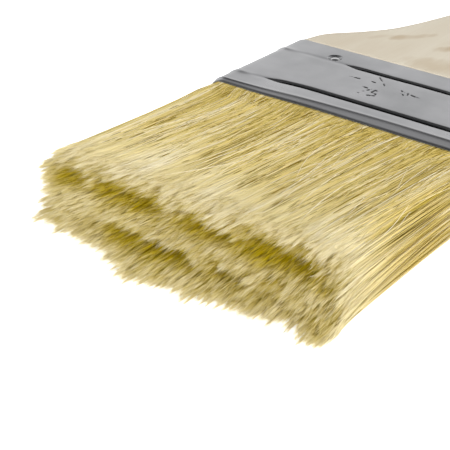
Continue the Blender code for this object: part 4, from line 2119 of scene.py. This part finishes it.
@dataclass
class Studio:
    """White floor, soft light and the camera."""

    places: Places
    azimuth: float = 39.006
    elevation: float = 29.649
    lens: float = 89.13
    sensor: float = 36.0
    stand: tuple[float, float, float] = (120.693, -188.994, 105.903)

    def build(self) -> None:
        """Set up the floor, the lights, the world and the camera."""
        self.build_floor()
        self.build_world()
        self.build_lights()
        self.build_camera()
        bpy.context.scene.view_settings.view_transform = "Standard"

    def build_floor(self) -> None:
        """Lay a wide white floor under the brush."""
        mesh = bmesh.new()
        bmesh.ops.create_grid(mesh, x_segments=8, y_segments=8, size=2.5)
        data = bpy.data.meshes.new("floor")
        mesh.to_mesh(data)
        mesh.free()
        floor = bpy.data.objects.new("floor", data)
        bpy.context.scene.collection.objects.link(floor)
        material, sheet, shader = new_material("white_floor")
        shader.inputs["Base Color"].default_value = (0.9, 0.9, 0.9, 1.0)
        shader.inputs["Roughness"].default_value = 0.9
        shader.inputs["Specular IOR Level"].default_value = 0.0
        shader.inputs["Emission Color"].default_value = (1.0, 1.0, 1.0, 1.0)
        seen = sheet.add("ShaderNodeLightPath").outputs["Is Camera Ray"]
        sheet.join(sheet.spread(seen, 0.0, 1.0, 0.25, 0.85), shader.inputs["Emission Strength"])
        floor.data.materials.append(material)

    def build_world(self) -> None:
        """Make a pale world, bright low down and dark overhead in reflections."""
        world = bpy.data.worlds.new("studio")
        bpy.context.scene.world = world
        world.use_nodes = True
        sheet = Sheet(world.node_tree)
        back = world.node_tree.nodes["Background"]
        parts = sheet.add("ShaderNodeSeparateXYZ")
        sheet.join(sheet.add("ShaderNodeTexCoord").outputs["Generated"], parts.inputs[0])
        ramp = sheet.add("ShaderNodeValToRGB")
        stops = ramp.color_ramp.elements
        stops[0].position, stops[0].color = 0.0, (0.95, 0.95, 0.95, 1.0)
        stops[1].position, stops[1].color = 1.0, (0.06, 0.06, 0.065, 1.0)
        for place, value in ((0.48, 1.0), (0.60, 0.45), (0.70, 0.12), (0.80, 0.06)):
            stop = stops.new(place)
            stop.color = (value, value, value * 1.02, 1.0)
        sheet.join(parts.outputs[2], ramp.inputs[0])
        seen = sheet.add("ShaderNodeLightPath").outputs["Is Camera Ray"]
        sheet.join(sheet.mix(seen, ramp.outputs[0], (1.0, 1.0, 1.0)), back.inputs["Color"])
        back.inputs["Strength"].default_value = 1.0

    def build_lights(self) -> None:
        """Hang soft lights that do not show in the steel."""
        for name, place, size, power in (
            ("overhead", (0.15, -0.05, 1.3), 1.2, 5.5),
            ("right", (1.1, -0.45, 0.65), 0.9, 11.0),
            ("front", (0.25, -1.25, 0.45), 0.9, 9.1),
        ):
            light = bpy.data.lights.new(name, "AREA")
            light.energy = power
            light.size = size
            lamp = bpy.data.objects.new(name, light)
            bpy.context.scene.collection.objects.link(lamp)
            lamp.location = place
            aim = Vector((0.0, -0.05, 0.0)) - Vector(place)
            lamp.rotation_euler = aim.to_track_quat("-Z", "Y").to_euler()
            lamp.visible_glossy = False

    def build_camera(self) -> None:
        """Place the camera, whose stand is given from the middle of the ferrule's mouth."""
        data = bpy.data.cameras.new("camera")
        data.lens = self.lens
        data.sensor_width = self.sensor
        data.clip_start, data.clip_end = 0.01, 20.0
        camera = bpy.data.objects.new("camera", data)
        bpy.context.scene.collection.objects.link(camera)
        mouth = Vector((0.0, self.places.mouth_y, self.places.mid_z))
        camera.location = (mouth + Vector(self.stand)) * MM
        camera.rotation_euler = (
            math.radians(90.0 - self.elevation),
            0.0,
            math.radians(self.azimuth),
        )
        bpy.context.scene.camera = camera


def dress_hidden(frame: dict, groups: Groups) -> None:
    """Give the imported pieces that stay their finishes.

    Args:
        groups: shared effects.
    """
    resin = ResinFinish().make("cured_resin_look", groups)
    strip = WoodFinish(
        light=(0.60, 0.47, 0.30),
        dark=(0.44, 0.32, 0.18),
        figure=(0.48, 0.35, 0.20),
        contrast=0.8,
        roughness=0.72,
    ).make("spacer_wood_look", groups)
    for node, material in (("resin_setting", resin), ("spacer_top", strip), ("spacer_bottom", strip)):
        for slot in frame["nodes"][node].material_slots:
            slot.material = material


def main() -> None:
    """Load the frame, build every piece round it and set the studio."""
    logging.basicConfig(level=logging.INFO, format="%(message)s")
    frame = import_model()
    places = Places.read()
    groups = Groups()
    report(Ferrule(places).build(SteelFinish().make("tinned_steel_look", groups)))
    for nail in Nails(places).build(NailFinish().make("nail_steel_look", groups)):
        report(nail)
    report(Handle(places).build(WoodFinish().make("handle_wood_look", groups)))
    dress_hidden(frame, groups)
    shape = TuftShape(places)
    Tuft(shape, TipField(shape)).build(BristleFinish().make("bristle_look", groups))
    Studio(places).build()


if __name__ == "__main__":
    main()
